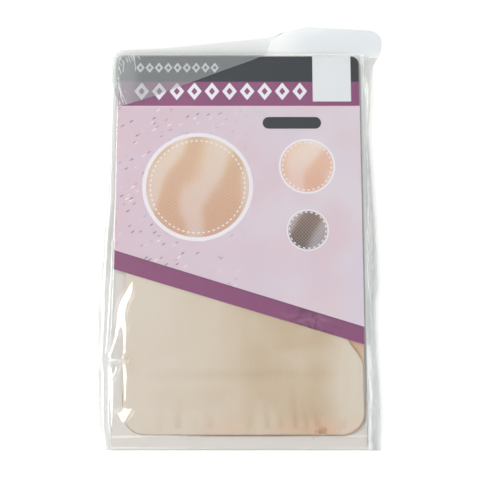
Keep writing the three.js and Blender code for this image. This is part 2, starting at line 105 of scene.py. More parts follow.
# Cap
TUBE_STEPS = {"floor": 44, "lip": 5, "shelf": 6, "fold": 8, "top": 94, "roll": 8}     # points round it
CROWN_CORNER = 11.5 * MM
CROWN_CORNER_ROWS = 14
CROWN_ROW = 1.25 * MM
CLOSED_LOFT = 0.95 * MM        # height of the closed end
CLOSED_RUN = 7 * MM            # the crown is at its full height this far from there
LOFT_ROOM = 0.15 * MM          # and stays this far below the hem's top
KNIT_WALL = 0.45 * MM
KNIT_PITCH = 0.62 * MM
SHELF_THICKNESS = 1.2 * MM     # the lower layer
SHELF_REACH = 0.7 * MM         # it shows this far beyond the upper one
SHELF_FACE = (1.1 * MM, 1.8 * MM)      # heights of the lower layer's upper face
# Painted shade: a brown strip on the lower layer beside the upper layer's fold
FOLD_SHADE_WIDTH = 2.6 * MM        # darkened strip beside the upper layer's fold
FOLD_SHADE_UNDER = 1.2 * MM        # it starts this far under the fold
FOLD_SHADE_TUCK = 3 * MM           # and is darkest where the fold draws in this far
# Painted shade in the dips of gathers and folds
DIP_SHADE_DEPTH = 0.34 * MM       # gathers this deep are darkest
HEM_ROW = 1.2 * MM
HEM_WALL = 0.72 * MM
HEM_PITCH = 0.496 * MM
HEM_SHELF = 0.4 * MM
HEM_DRAW = 0.2 * MM
HEM_RIB = {"pitch": 1.6 * MM, "depth": 0.05 * MM, "sunk": 0.1 * MM}

# Waves of the crown's top, of its right fold and of its closed end: height, length and seed
CROWN_WAVES = [(0.16 * MM, 16 * MM, 3.0), (0.07 * MM, 6 * MM, 8.0)]
FOLD_WAVES = [(0.25 * MM, 9 * MM, 2.0)]
FOLD_WAVES_START = 8 * MM
END_WAVES = [(0.22 * MM, 3 * MM, 5.0)]
END_SETTLES = 3 * MM

# Thread
THREAD_RADIUS = 0.11 * MM
CORE_RADIUS = 0.242 * MM
HEM_STITCH_ROWS = (0.12, 0.22)         # shares of the hem's depth
HEM_STITCH_ENDS = (3 * MM, 4 * MM)     # hem left bare beyond their left and right end
HEM_STITCH = {"pitch": 1.1 * MM, "swing": 0.4 * MM, "sunk": 0.12 * MM, "radius": 0.1 * MM}
SEAM_BEND = 12.2 * MM
SEAM_INSET = 0.4 * MM          # its route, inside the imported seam
SEAM_RISE = 0.38 * MM
LOOP = {"pitch": 1.5 * MM, "steps": 12, "inward": 0.3 * MM, "swing": 0.34 * MM, "rise": 0.3 * MM}
CORE_INWARD = 0.1 * MM
CORE_STEP = 4                  # a point of the core for so many of the loops' points

# Loose ends of the thread. Those of its random numbers that are lengths are in millimetres.
TAIL_ROOT = Vector((38.6, -102.8, 2.0)) * MM
TAIL_SPREAD = (-3.6, 1.8)
TAIL_HEADING = (0.1, 2.2)
TAIL_TURN = (-0.2, 0.62)
TAIL_ENDS = 10
TAIL_STEPS = 12
TAIL_STEP = 0.36 * MM
TAIL_TOP = 3.5 * MM            # they rise to this height on the first bit of their way
TAIL_CLIMB = 2.2 * MM
TAIL_UNEVEN = 0.15 * MM
TAIL_RADIUS = 0.13 * MM

# Film
FILM_WALL = 0.1 * MM
FINE_COLUMN = 0.48 * MM
COARSE_COLUMN = 1.6 * MM
FILM_ROW = 0.9 * MM
FILM_INSET = 0.02 * MM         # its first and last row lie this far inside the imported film
FILM_MEASURED = 0.998          # its heights are measured a little inward, to meet that film at its edge
FILM_WAVES = [(0.1 * MM, 14 * MM, 1.0), (0.05 * MM, 5 * MM, 4.0)]      # height, length and seed
FOOT_FOLD = [(0.0, 0.45 * MM), (0.05 * MM, 1.0 * MM)]                  # way in from the foot, and height
SIDE_FADE = 1.5 * MM           # ridges and waves die out over this width
FACET_FADE = 1.2 * MM          # and facets over this one, at their two ends
SEAL = {"width": 1.1 * MM, "soft": 0.4 * MM, "pitch": 1.4 * MM}
# The white at crests is partly the film's own whitening and partly a painted highlight
WHITE_CREST = 0.45 * MM        # film turns white this near to a crest
FLAP_LEVEL = 5.3 * MM          # film above this is the flap, folded over
SUBDIVIDED_LEVEL = 3 * MM      # film above this is crumpled
FOLDED_CRUMPLES = (FLAP_LEVEL - 0.4 * MM, FLAP_LEVEL + 0.1 * MM)
FREE_CRUMPLES = (FRONT_HIGH.y, FRONT_HIGH.y + 3 * MM)
LIFTED_CRUMPLES = (0, 2 * MM)
CRUMPLE = {"rise": 0.08 * MM, "pitch": 1.7 * MM, "middle": COVER_LOW.x + 2 * MM, "width": 7 * MM}
SLACK = {"rise": 0.2 * MM, "pitch": 9 * MM}
PINCH_RADIUS = 0.12 * MM
PINCH_RISE = 0.02 * MM
DROP_HEIGHT = 50 * MM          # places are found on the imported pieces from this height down


def lerp(a, b, share):
    """The value that lies a share of the way from a to b."""
    return a + (b - a) * share


def ease(share):
    """A smooth step from 0 to 1."""
    share = min(1.0, max(0.0, share))
    return share * share * (3 - 2 * share)


def ramp(value, start, end):
    """A smooth step from 0 at start to 1 at end."""
    return ease((value - start) / (end - start))


def bell(distance, width):
    """1 at no distance, falling away over that width."""
    return math.exp(-((distance / width) ** 2))


def ripple(x, y, size, seed):
    """Smooth noise between -1 and 1 with waves of that size."""
    return noise.noise(Vector((x / size, y / size, seed)))


def waves(x, y, kinds):
    """Several ripples on one another, each with its height, length and seed."""
    return sum(height * ripple(x, y, size, seed) for height, size, seed in kinds)


def colour(red, green, blue):
    """A colour given as it shows on a screen, from 0 to 255, as a linear one."""

    def linear(value):
        value = value / 255
        return value / 12.92 if value <= 0.04045 else ((value + 0.055) / 1.055) ** 2.4

    return (linear(red), linear(green), linear(blue), 1.0)


# Colours of the cap and the cards
KNIT_LEFT = colour(202, 191, 180)
KNIT_RIGHT = colour(189, 168, 142)
KNIT_DEEP = colour(180, 158, 131)
KNIT_PALE = colour(205, 195, 183)
KNIT_PINK = colour(214, 168, 146)
KNIT_UNDER = colour(198, 160, 138)
# Painted shade beside the upper layer's fold
KNIT_FOLD_SHADE = colour(178, 142, 106)
# Painted shade in the dips of the gathers and folds
KNIT_DIP_SHADE = colour(166, 142, 112)
# Painted shade along faint folds, as stretched darker stripes
KNIT_FOLD_LINE_SHADE = [((34.0, 9.0, 20.0), 0.3), ((8.0, 40.0, 20.0), 0.22)]   # stretch and strength
THREAD_DARK = colour(142, 120, 96)
THREAD_LIGHT = colour(176, 154, 128)
THREAD_PALE = colour(226, 218, 206)
LOOSE_DARK = colour(158, 130, 80)
LOOSE_LIGHT = colour(206, 184, 136)
BOARD_WHITE = colour(201, 195, 192)
BOARD_WORN = colour(188, 186, 180)
GROUND_LEFT = colour(197, 177, 191)
GROUND_RIGHT = colour(206, 196, 206)
GROUND_PINK = colour(203, 175, 185)
GROUND_COOL = colour(194, 186, 204)
PRINT_WHITE = colour(222, 220, 228)
PRINT_DARK = colour(25, 32, 40)
PRINT_PURPLE = colour(124, 58, 106)
PRINT_PURPLE_LIGHT = colour(134, 70, 114)
PRINT_LINE = colour(216, 186, 200)
PRINT_BARE = colour(214, 216, 222)
BAND_PURPLE = colour(124, 58, 104)
BAND_LINE = colour(100, 40, 82)
# Painted shade of the band's creases and of a ragged shadow at its lower edge
BAND_CREASE_SHADE = colour(74, 32, 62)

# Where the cap's and the thread's colours change: from and to, in metres
PALE_RIM = (CROWN_HIGH.x - 24 * MM, CROWN_HIGH.x - 7 * MM)
PALE_RIM_WANDER = 16 * MM
FLUSHED_END = (CROWN_LOW.y + 1 * MM, CROWN_LOW.y + 11 * MM)
UNDER_SHOWS = (-75 * MM, -55 * MM)
# The thread is painted paler beyond these, lightening the shade it lies in at both sides
THREAD_LEFT = (-44 * MM, -8 * MM)
THREAD_RIGHT = (46 * MM, 56 * MM)

# Places on the printed card are in widths of the card: u from its left side, v down from its head
PRINT_DARK_END = 0.111
PRINT_HEADER_END = 0.2146
PRINT_HEADER_LINE = 0.006
PRINT_BLANK = {"left": 0.807, "right": 0.965, "end": 0.1957}
PRINT_FOOT = (0.893, 1.1945)           # v at the card's left and right side
PRINT_FOOT_BAND = (0.073, 0.066)       # the band's width there
PRINT_FOOT_LINE = 0.004
PRINT_LABEL = {"left": 0.6, "right": 0.84, "v": 0.287, "half": 0.025}
PRINT_SWATCHES = [
    {"u": 0.335, "v": 0.555, "radius": 0.225, "tone": colour(204, 176, 146), "shade": colour(190, 146, 118)},
    {"u": 0.78, "v": 0.47, "radius": 0.115, "tone": colour(218, 192, 172), "shade": colour(206, 156, 134)},
    {"u": 0.78, "v": 0.735, "radius": 0.085, "tone": colour(132, 104, 88), "shade": colour(84, 64, 56)},
]
SWATCH_CLOTH = 0.93                    # radii of the cloth and the ring, as shares of the swatch's
SWATCH_RING = 0.84
SWATCH_RING_WIDTH = 0.0055
SWATCH_DASHES = 260                    # for each card width of radius
PRINT_LOZENGES = [
    {"from": 0.075, "to": 0.42, "v": 0.05, "pitch": 0.0385, "half": 0.022},
    {"from": 0.065, "to": 0.79, "v": 0.152, "pitch": 0.0725, "half": 0.038},
]
SPECK_LEAN = math.radians(34)
SPECKS = [
    {"scale": 640.0, "reach": 0.2, "tone": colour(96, 78, 98), "strength": 0.85},
    {"scale": 520.0, "reach": 0.18, "tone": colour(232, 218, 226), "strength": 0.8},
]

# Looks of the film. A tint works once for each layer that light passes.
FILM_WHITE = (0.93, 0.955, 0.965, 1.0)
FILM_TINT = (0.978, 0.982, 0.98, 1.0)
FLAP_TINT = (0.924, 0.938, 0.948, 1.0)
BEND_TINT = (0.982, 0.986, 0.99, 1.0)
FOLDED_TINT = (0.925, 0.938, 0.942, 1.0)
# Painted shadow: darker film beside the right side of the cards
RIGHT_SHADOW_TINT = (0.872, 0.878, 0.884, 1.0)
LEFT_TINT = (0.945, 0.945, 0.945, 1.0)
FILM_GLOSS = 0.95
FILM_RIM_LIMIT = 0.1053
FRONT_HAZE = 0.004
FLAP_HAZE = 0.006
# Haze of the folded flap, partly standing in as a painted reflection of bright light
FOLDED_HAZE_AND_SHEEN = 0.075
CORNER_HAZE = 0.05
# Nearly white pinched creases: partly the film's own whitening and partly a painted highlight
PINCH_WHITE_AND_HIGHLIGHT = 0.62
# Partly the film's own whitening and partly a painted highlight along crests
CREASE_WHITE_AND_HIGHLIGHT = 0.17
SEAL_HAZE = 0.05
# Painted highlight along the front film's mouth
MOUTH_HIGHLIGHT = 0.45
# Painted sheen where the film bends down past the right side of the cards
BEND_SHEEN = 0.26

# Where the film's looks change: from and to, in metres
FLAP_STEP = (FLAP_LEVEL - 0.25 * MM, FLAP_LEVEL)
PAST_MOUTH = (FRONT_HIGH.y - 1 * MM, FRONT_HIGH.y + 5 * MM)
FLAP_LEFT_END = (COVER_LOW.x + 5 * MM, COVER_LOW.x + 14 * MM)
FLAP_TURNS = (15 * MM, 36 * MM)
MOUTH_LINE = (FRONT_HIGH.y - 0.9 * MM, FRONT_HIGH.y - 0.3 * MM)
# Where that painted sheen lies
RIGHT_BEND = (COVER_HIGH.x + 0.8 * MM, COVER_HIGH.x + 3 * MM)
# Where the painted shadow beyond the right side starts and fades
RIGHT_START = (COVER_HIGH.x + 0.5 * MM, COVER_HIGH.x + 2 * MM)
RIGHT_FADE = (COVER_HIGH.x + 3.5 * MM, COVER_HIGH.x + 7 * MM)
LEFT_END = COVER_LOW.x - 1 * MM
UPPER_PART = (25 * MM, 75 * MM)

# Gathers that run up from the closed end. across is a share of the cap's width, reach of its
# length, depth and width are in millimetres.
GATHERS = [
    {"across": 0.09, "reach": 0.05, "depth": 0.12, "width": 1.2, "lean": 0.01},
    {"across": 0.15, "reach": 0.08, "depth": 0.16, "width": 1.6, "lean": 0.01},
    {"across": 0.225, "reach": 0.13, "depth": 0.24, "width": 2.6, "lean": 0.02},
    {"across": 0.3, "reach": 0.06, "depth": 0.14, "width": 1.4, "lean": 0.0},
    {"across": 0.36, "reach": 0.09, "depth": 0.26, "width": 2.4, "lean": 0.0},
    {"across": 0.44, "reach": 0.06, "depth": 0.12, "width": 1.4, "lean": 0.01},
    {"across": 0.52, "reach": 0.1, "depth": 0.18, "width": 2.4, "lean": 0.02},
    {"across": 0.6, "reach": 0.14, "depth": 0.3, "width": 2.2, "lean": -0.02},
    {"across": 0.655, "reach": 0.08, "depth": 0.26, "width": 1.8, "lean": -0.01},
    {"across": 0.715, "reach": 0.18, "depth": 0.36, "width": 2.2, "lean": -0.02},
    {"across": 0.765, "reach": 0.12, "depth": 0.32, "width": 1.8, "lean": -0.03},
    {"across": 0.815, "reach": 0.1, "depth": 0.4, "width": 2.0, "lean": -0.04},
    {"across": 0.9, "reach": 0.09, "depth": 0.2, "width": 2.6, "lean": 0.02},
]

# Soft folds in the flat of the cap, from one point to another: shares of its width and length.
# rise and width are in millimetres.
FOLDS = [
    {"start": (0.19, 0.42), "end": (0.225, 0.24), "rise": 0.22, "width": 2.2},
    {"start": (0.40, 0.44), "end": (0.41, 0.2), "rise": 0.16, "width": 3.0},
    {"start": (0.12, 0.17), "end": (0.86, 0.175), "rise": -0.14, "width": 2.4},
    {"start": (0.62, 0.34), "end": (0.9, 0.3), "rise": 0.18, "width": 3.2},
    {"start": (0.55, 0.24), "end": (0.8, 0.27), "rise": -0.14, "width": 2.6},
    {"start": (0.9, 0.04), "end": (0.915, 0.2), "rise": 0.2, "width": 1.6},
]

# How far the cap's upper layer draws in at the right: shares of the crown's length and the cap's width
TUCKS = [(0.0, 0.0), (0.227, 0.002), (0.256, 0.023), (0.285, 0.052), (0.32, 0.08), (0.38, 0.1),
         (0.47, 0.11), (0.6, 0.1), (0.75, 0.07), (0.88, 0.035), (1.0, 0.0)]

# Ridges in the front film, from one point to the next in millimetres. left and right are the
# widths of the slopes beside the crest, seen along the ridge; white is how white its crest turns, partly the
# film's own whitening and partly a painted highlight.
RIDGES = [
    {"points": [(-58.0, -65.2), (-63.0, -65.8), (-69.8, -66.4)], "rise": 1.0, "left": 2.4, "right": 1.2,
     "white": 1.0},
    {"points": [(-69.8, -66.4), (-66.8, -68.4), (-64.2, -69.4)], "rise": 0.5, "left": 1.2, "right": 1.2,
     "white": 0.8},
    {"points": [(-69.6, -67.4), (-68.6, -74.0), (-68.2, -84.0), (-67.6, -97.0)], "rise": 0.15, "left": 1.6,
     "right": 0.8, "white": 0.5},
    {"points": [(-69.8, -66.0), (-67.9, -61.5), (-65.9, -55.0), (-63.8, -49.0)], "rise": 0.12, "left": 1.2,
     "right": 0.8, "white": 0.6},
    {"points": [(-63.0, -68.4), (-63.4, -71.5), (-65.2, -76.0)], "rise": 0.45, "left": 1.6, "right": 0.9,
     "white": 0.3},
    {"points": [(64.0, -24.0), (65.4, -48.0), (64.6, -70.0)], "rise": 0.15, "left": 2.0, "right": 2.0},
    {"points": [(62.6, 52.0), (62.2, 16.0), (63.4, -18.0)], "rise": 0.12, "left": 2.0, "right": 2.0},
    {"points": [(-66.0, 88.0), (-64.8, 79.0), (-62.6, 70.0)], "rise": 0.3, "left": 1.0, "right": 1.2,
     "white": 0.4},
    {"points": [(25.0, -47.8), (32.8, -45.2), (39.2, -48.8)], "rise": 0.4, "left": 1.8, "right": 1.2,
     "white": 0.22},
    {"points": [(36.0, -42.0), (39.0, -45.6), (44.0, -47.0)], "rise": 0.35, "left": 1.4, "right": 1.2,
     "white": 0.25},
    {"points": [(17.4, -41.6), (22.6, -44.4), (27.6, -42.8)], "rise": 0.3, "left": 1.4, "right": 1.4,
     "white": 0.15},
]

# Fine creases in the flap, fanned out from the pack's upper left corner, in millimetres
PINCHES = [
    [(-66.0, 78.8), (-64.1, 73.3), (-60.4, 65.6)],
    [(-64.7, 74.4), (-64.1, 70.6), (-62.7, 67.4)],
    [(-61.9, 92.5), (-60.8, 89.8)],
    [(-60.6, 92.8), (-59.4, 89.6)],
    [(-59.5, 93.1), (-57.9, 90.3)],
    [(-58.4, 93.4), (-57.3, 91.1)],
    [(-65.0, 91.8), (-62.9, 89.4)],
    [(-66.0, 90.3), (-63.9, 87.6)],
    [(-57.7, 94.2), (-57.2, 89.8), (-56.5, 84.8)],
    [(-65.5, 87.6), (-64.3, 83.2)],
    [(-62.9, 89.8), (-63.3, 84.3)],
    [(-55.6, 93.1), (-54.5, 91.4)],
]

# Flat facets that lean to the left, between creases, and mirror the crease lamp. Each row is y, the
# left x and the right x in millimetres, from head to foot; ramp is the width of the facet's creases.
FACETS = [
    {"rows": [(-26.6, -56.9, -56.1), (-28.7, -58.3, -56.0), (-31.7, -60.1, -56.2), (-34.8, -62.0, -56.8),
              (-37.3, -63.2, -58.2), (-39.9, -63.7, -59.0), (-42.4, -64.0, -59.5), (-44.9, -64.3, -59.4),
              (-48.4, -64.4, -58.9), (-49.9, -63.4, -58.8)], "ramp": 1.3},
    {"rows": [(-49.4, -61.7, -58.7), (-53.9, -61.0, -58.8), (-59.9, -60.4, -59.1), (-62.9, -60.9, -58.6)],
     "ramp": 1.0},
    {"rows": [(-48.9, -64.5, -62.4), (-53.9, -65.4, -62.9), (-58.4, -66.5, -64.4), (-61.9, -67.6, -65.5),
              (-64.9, -68.9, -66.9)], "ramp": 1.0},
    {"rows": [(-65.4, -61.4, -58.4), (-67.9, -61.2, -58.8), (-70.9, -60.6, -58.4), (-73.8, -60.5, -57.8),
              (-77.8, -60.2, -58.2), (-81.7, -59.8, -58.4), (-86.2, -59.5, -58.4)], "ramp": 1.1},
    {"rows": [(-89.1, -60.1, -58.9), (-90.3, -60.8, -55.5), (-91.3, -63.1, -55.6), (-92.7, -63.0, -55.9),
              (-94.4, -61.8, -57.5), (-96.4, -60.7, -58.5)], "ramp": 1.3},
    {"rows": [(-68.9, -68.3, -66.8), (-71.9, -67.8, -65.4), (-75.8, -67.5, -64.7), (-80.7, -67.0, -64.6),
              (-85.7, -66.6, -64.6), (-90.5, -66.3, -64.7), (-98.8, -65.9, -64.8)], "ramp": 1.0},
    {"rows": [(-5.0, -67.8, -66.8), (-23.6, -68.0, -67.0), (-40.9, -68.6, -67.6), (-55.9, -69.3, -68.2),
              (-63.9, -69.8, -68.8)], "ramp": 0.8},
    {"rows": [(-75.3, 62.9, 63.8), (-79.8, 62.9, 63.8), (-84.7, 62.7, 63.4)], "ramp": 0.9},
    {"rows": [(-91.5, 61.9, 62.8), (-94.4, 61.9, 62.7), (-97.8, 61.6, 62.4)], "ramp": 0.9},
]


# Meshes


def activate(piece):
    """Selects one piece alone."""
    bpy.ops.object.select_all(action="DESELECT")
    piece.select_set(True)
    bpy.context.view_layer.objects.active = piece


def named_active(name):
    """Names the object that an operator has just added, and its mesh."""
    piece = bpy.context.object
    piece.name = name
    piece.data.name = name
    return piece


def add_grid(name, columns, rows, place):
    """A grid primitive of so many points each way, each moved to place(i, j)."""
    bpy.ops.object.select_all(action="DESELECT")
    bpy.ops.mesh.primitive_grid_add(x_subdivisions=columns - 1, y_subdivisions=rows - 1, size=1)
    piece = named_active(name)
    for vertex in piece.data.vertices:
        i = round((vertex.co.x + 0.5) * (columns - 1))
        j = round((vertex.co.y + 0.5) * (rows - 1))
        vertex.co = place(i, j)
    return piece


def edit(piece, steps):
    """Runs operators on the whole piece in edit mode."""
    activate(piece)
    bpy.ops.object.mode_set(mode="EDIT")
    bpy.ops.mesh.select_all(action="SELECT")
    steps()
    bpy.ops.object.mode_set(mode="OBJECT")


def pick_faces(piece, wanted):
    """Opens a piece in edit mode with only the wanted faces selected."""
    activate(piece)
    bpy.ops.object.mode_set(mode="EDIT")
    bpy.ops.mesh.select_mode(type="FACE")
    bpy.ops.mesh.select_all(action="DESELECT")
    bpy.ops.object.mode_set(mode="OBJECT")
    for face in piece.data.polygons:
        face.select = wanted(face)
    bpy.ops.object.mode_set(mode="EDIT")


def apply_modifier(piece, kind, **settings):
    """Adds a modifier and applies it."""
    activate(piece)
    modifier = piece.modifiers.new(kind.title(), kind)
    for name, value in settings.items():
        setattr(modifier, name, value)
    bpy.ops.object.modifier_apply(modifier=modifier.name)


def merge(piece):
    """Joins the points that lie on one another."""
    edit(piece, lambda: bpy.ops.mesh.remove_doubles(threshold=0.001 * MM))


def turn_out(piece):
    """Points all faces outwards."""
    edit(piece, lambda: bpy.ops.mesh.normals_make_consistent(inside=False))


def keep_marks(piece, name, marks):
    """Keeps one number for each point under a name that materials read."""
    attribute = piece.data.attributes.new(name, "FLOAT", "POINT")
    attribute.data.foreach_set("value", marks.astype(np.float32))


def dress(piece, material, smooth_angle=60):
    """Gives a finished piece its material, shading, body and slot."""
    piece.data.materials.clear()
    piece.data.materials.append(material)
    activate(piece)
    bpy.ops.object.shade_smooth_by_angle(angle=math.radians(smooth_angle))
    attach(piece, "root")
    return piece


def thread(name, lines, radius):
    """Closed tubes along lists of points, made from a curve."""
    curve = bpy.data.curves.new(name, "CURVE")
    curve.dimensions = "3D"
    curve.bevel_depth = radius
    curve.bevel_resolution = 1
    curve.use_fill_caps = True
    for points in lines:
        spline = curve.splines.new("POLY")
        spline.points.add(len(points) - 1)
        for point, place in zip(spline.points, points):
            point.co = (*place, 1)
    piece = bpy.data.objects.new(name, curve)
    bpy.context.scene.collection.objects.link(piece)
    activate(piece)
    bpy.ops.object.convert(target="MESH")
    return named_active(name)


# Materials


class Nodes:
    """Short ways to add and join the nodes of one tree."""

    def __init__(self, tree):
        self.tree = tree

    def feed(self, socket, value):
        """Links a socket to another, or sets its value."""
        if isinstance(value, bpy.types.NodeSocket):
            self.tree.links.new(value, socket)
        else:
            socket.default_value = value

    def add(self, kind, inputs=None, **settings):
        """A node with settings and with some of its inputs fed."""
        node = self.tree.nodes.new(kind)
        for name, value in settings.items():
            setattr(node, name, value)
        for name, value in (inputs or {}).items():
            self.feed(node.inputs[name], value)
        return node

    def group(self, tree, **inputs):
        """A shared group's outputs, with some of its inputs fed."""
        return self.add("ShaderNodeGroup", inputs, node_tree=tree).outputs

    def math(self, operation, *values, clamp=False):
        """A Math node's result."""
        node = self.add("ShaderNodeMath", operation=operation, use_clamp=clamp)
        for socket, value in zip(node.inputs, values):
            self.feed(socket, value)
        return node.outputs[0]

    def times(self, *values):
        """The product of all values."""
        return functools.reduce(lambda a, b: self.math("MULTIPLY", a, b), values)

    def plus(self, *values):
        """The sum of all values."""
        return functools.reduce(lambda a, b: self.math("ADD", a, b), values)

    def minus(self, a, b):
        """What is left of a without b."""
        return self.math("SUBTRACT", a, b)

    def rest(self, share):
        """What a share lacks to make 1."""
        return self.minus(1.0, share)

    def sine(self, angle):
        """The sine of an angle."""
        return self.math("SINE", angle)

    def unsigned(self, value):
        """A value without its sign."""
        return self.math("ABSOLUTE", value)

    def distance(self, across, along):
        """The length of a way with these two parts."""
        return self.math("SQRT", self.plus(self.math("POWER", across, 2.0), self.math("POWER", along, 2.0)))

    def step(self, value, low, high):
        """A smooth rise from 0 at low to 1 at high."""
        inputs = {"Value": value, "From Min": low, "From Max": high}
        return self.add("ShaderNodeMapRange", inputs, interpolation_type="SMOOTHSTEP").outputs[0]

    def below(self, value, limit, soft=0.0008):
        """1 where value lies below limit."""
        return self.rest(self.step(value, limit - soft, limit + soft))

    def between(self, value, low, high, soft=0.0008):
        """1 where value lies between low and high."""
        return self.minus(self.below(value, high, soft), self.below(value, low, soft))

    def mix(self, factor, a, b, mode="MIX"):
        """A colour between a and b."""
        node = self.add("ShaderNodeMix", data_type="RGBA", blend_type=mode)
        for index, value in ((0, factor), (6, a), (7, b)):
            self.feed(node.inputs[index], value)
        return node.outputs[2]

    def paint(self, base, tone, *masks):
        """A colour with a tone laid over it as far as all the masks let it."""
        return self.mix(self.times(*masks), base, tone)

    def shaded(self, base, shade):
        """A colour times a number."""
        grey = self.add("ShaderNodeCombineColor", dict.fromkeys(("Red", "Green", "Blue"), shade))
        return self.mix(1.0, base, grey.outputs[0], "MULTIPLY")

    def place(self):
        """The point of the surface, in metres."""
        return self.add("ShaderNodeTexCoord").outputs["Object"]

    def split(self, vector):
        """The three parts of a vector."""
        return self.add("ShaderNodeSeparateXYZ", {"Vector": vector}).outputs[:3]

    def mapped(self, vector, **settings):
        """A vector that is turned or scaled."""
        return self.add("ShaderNodeMapping", {"Vector": vector, **settings}).outputs[0]

    def mark(self, name):
        """A number that the points of a piece keep under that name."""
        return self.add("ShaderNodeAttribute", attribute_name=name).outputs["Fac"]

    def noise(self, vector, scale, detail=2.0):
        """Noise between 0 and 1."""
        inputs = {"Vector": vector, "Scale": scale, "Detail": detail}
        return self.add("ShaderNodeTexNoise", inputs).outputs[0]

    def patches(self, vector, scale, detail, low, high):
        """Noise drawn out to patches of 1 on 0, with soft edges."""
        return self.step(self.noise(vector, scale, detail), low, high)

    def cracks(self, vector, scale, width):
        """A net of thin lines round uneven cells."""
        inputs = {"Vector": vector, "Scale": scale}
        cells = self.add("ShaderNodeTexVoronoi", inputs, feature="DISTANCE_TO_EDGE")
        return self.rest(self.step(cells.outputs["Distance"], 0.0, width))

    def bump(self, height, distance):
        """A normal bent by a height."""
        return self.add("ShaderNodeBump", {"Height": height, "Distance": distance}).outputs[0]


def shared_group(name, inputs, outputs):
    """An empty node group: its tree, nodes, inputs and outputs. An input without a value is a place."""
    tree = bpy.data.node_groups.new(name, "ShaderNodeTree")
    for label, value in inputs.items():
        if value is None:
            tree.interface.new_socket(label, in_out="INPUT", socket_type="NodeSocketVector")
        else:
            socket = tree.interface.new_socket(label, in_out="INPUT", socket_type="NodeSocketFloat")
            socket.default_value = value
    for label in outputs:
        tree.interface.new_socket(label, in_out="OUTPUT", socket_type="NodeSocketFloat")
    nodes = Nodes(tree)
    return tree, nodes, nodes.add("NodeGroupInput").outputs, nodes.add("NodeGroupOutput").inputs


def knit_grain_group():
    """Rows and columns of fine knitted loops, as a height and a shade."""
    inputs = {"Place": None, "Pitch": KNIT_PITCH}
    tree, n, given, result = shared_group("knit_grain", inputs, ["Height", "Shade"])
    x, y, _ = n.split(given["Place"])
    turn = n.math("DIVIDE", 2 * math.pi, given["Pitch"])
    drift = n.times(n.noise(given["Place"], 120.0), 2.2)
    wale = n.sine(n.plus(n.times(x, turn), drift))
    course = n.sine(n.plus(n.times(y, n.times(turn, 1.25)), n.times(n.unsigned(wale), 1.4)))
    height = n.plus(n.times(wale, 0.3), n.times(course, 0.2), 0.5)
    n.feed(result["Height"], height)
    n.feed(result["Shade"], n.plus(n.times(height, 0.05), 0.975))
    return tree


def paper_fibre_group():
    """Faint fibres and clouds of pressed board, as a height and a shade."""
    tree, n, given, result = shared_group("paper_fibre", {"Place": None}, ["Height", "Shade"])
    fibre = n.noise(n.mapped(given["Place"], Scale=(900.0, 2600.0, 900.0)), 1.0, 3.0)
    cloud = n.noise(given["Place"], 60.0)
    n.feed(result["Height"], fibre)
    n.feed(result["Shade"], n.plus(n.times(fibre, 0.04), n.times(cloud, 0.05), 0.955))
    return tree


def card_edge_group():
    """A mask that rises towards the edges of a card, where it is worn by handling."""
    inputs = {"Place": None, "Left": 0.0, "Right": 0.0, "Head": 0.0, "Width": 0.6 * MM}
    tree, n, given, result = shared_group("card_edge", inputs, ["Mask"])
    x, y, _ = n.split(given["Place"])
    side = n.math("MINIMUM", n.minus(x, given["Left"]), n.minus(given["Right"], x))
    inside = n.math("MINIMUM", side, n.minus(given["Head"], y))
    ragged = n.times(given["Width"], n.plus(0.4, n.noise(given["Place"], 500.0)))
    n.feed(result["Mask"], n.rest(n.step(inside, 0.0, ragged)))
    return tree


def film_ripple_group():
    """Fine crinkles of thin film, as a height."""
    tree, n, given, result = shared_group("film_ripple", {"Place": None, "Crinkle": 0.3}, ["Height"])
    slack = n.mapped(given["Place"], Scale=(1.0, 0.45, 1.0))
    sharp = n.times(n.cracks(slack, 210.0, 0.28), given["Crinkle"])
    n.feed(result["Height"], n.plus(n.noise(slack, 55.0, 1.0), sharp))
    return tree


KNIT_GRAIN = knit_grain_group()
PAPER_FIBRE = paper_fibre_group()
CARD_EDGE = card_edge_group()
FILM_RIPPLE = film_ripple_group()


def new_material(name):
    """An empty material, its nodes and its output."""
    material = bpy.data.materials.new(name)
    material.use_nodes = True
    material.node_tree.nodes.clear()
    nodes = Nodes(material.node_tree)
    return material, nodes, nodes.add("ShaderNodeOutputMaterial").inputs["Surface"]


def matte(nodes, surface, base, rough, **extra):
    """The shader of a plain surface, with further inputs by name, an underscore for each space."""
    inputs = {"Base Color": base, "Roughness": rough}
    inputs.update({name.replace("_", " "): value for name, value in extra.items()})
    nodes.feed(surface, nodes.add("ShaderNodeBsdfPrincipled", inputs).outputs[0])


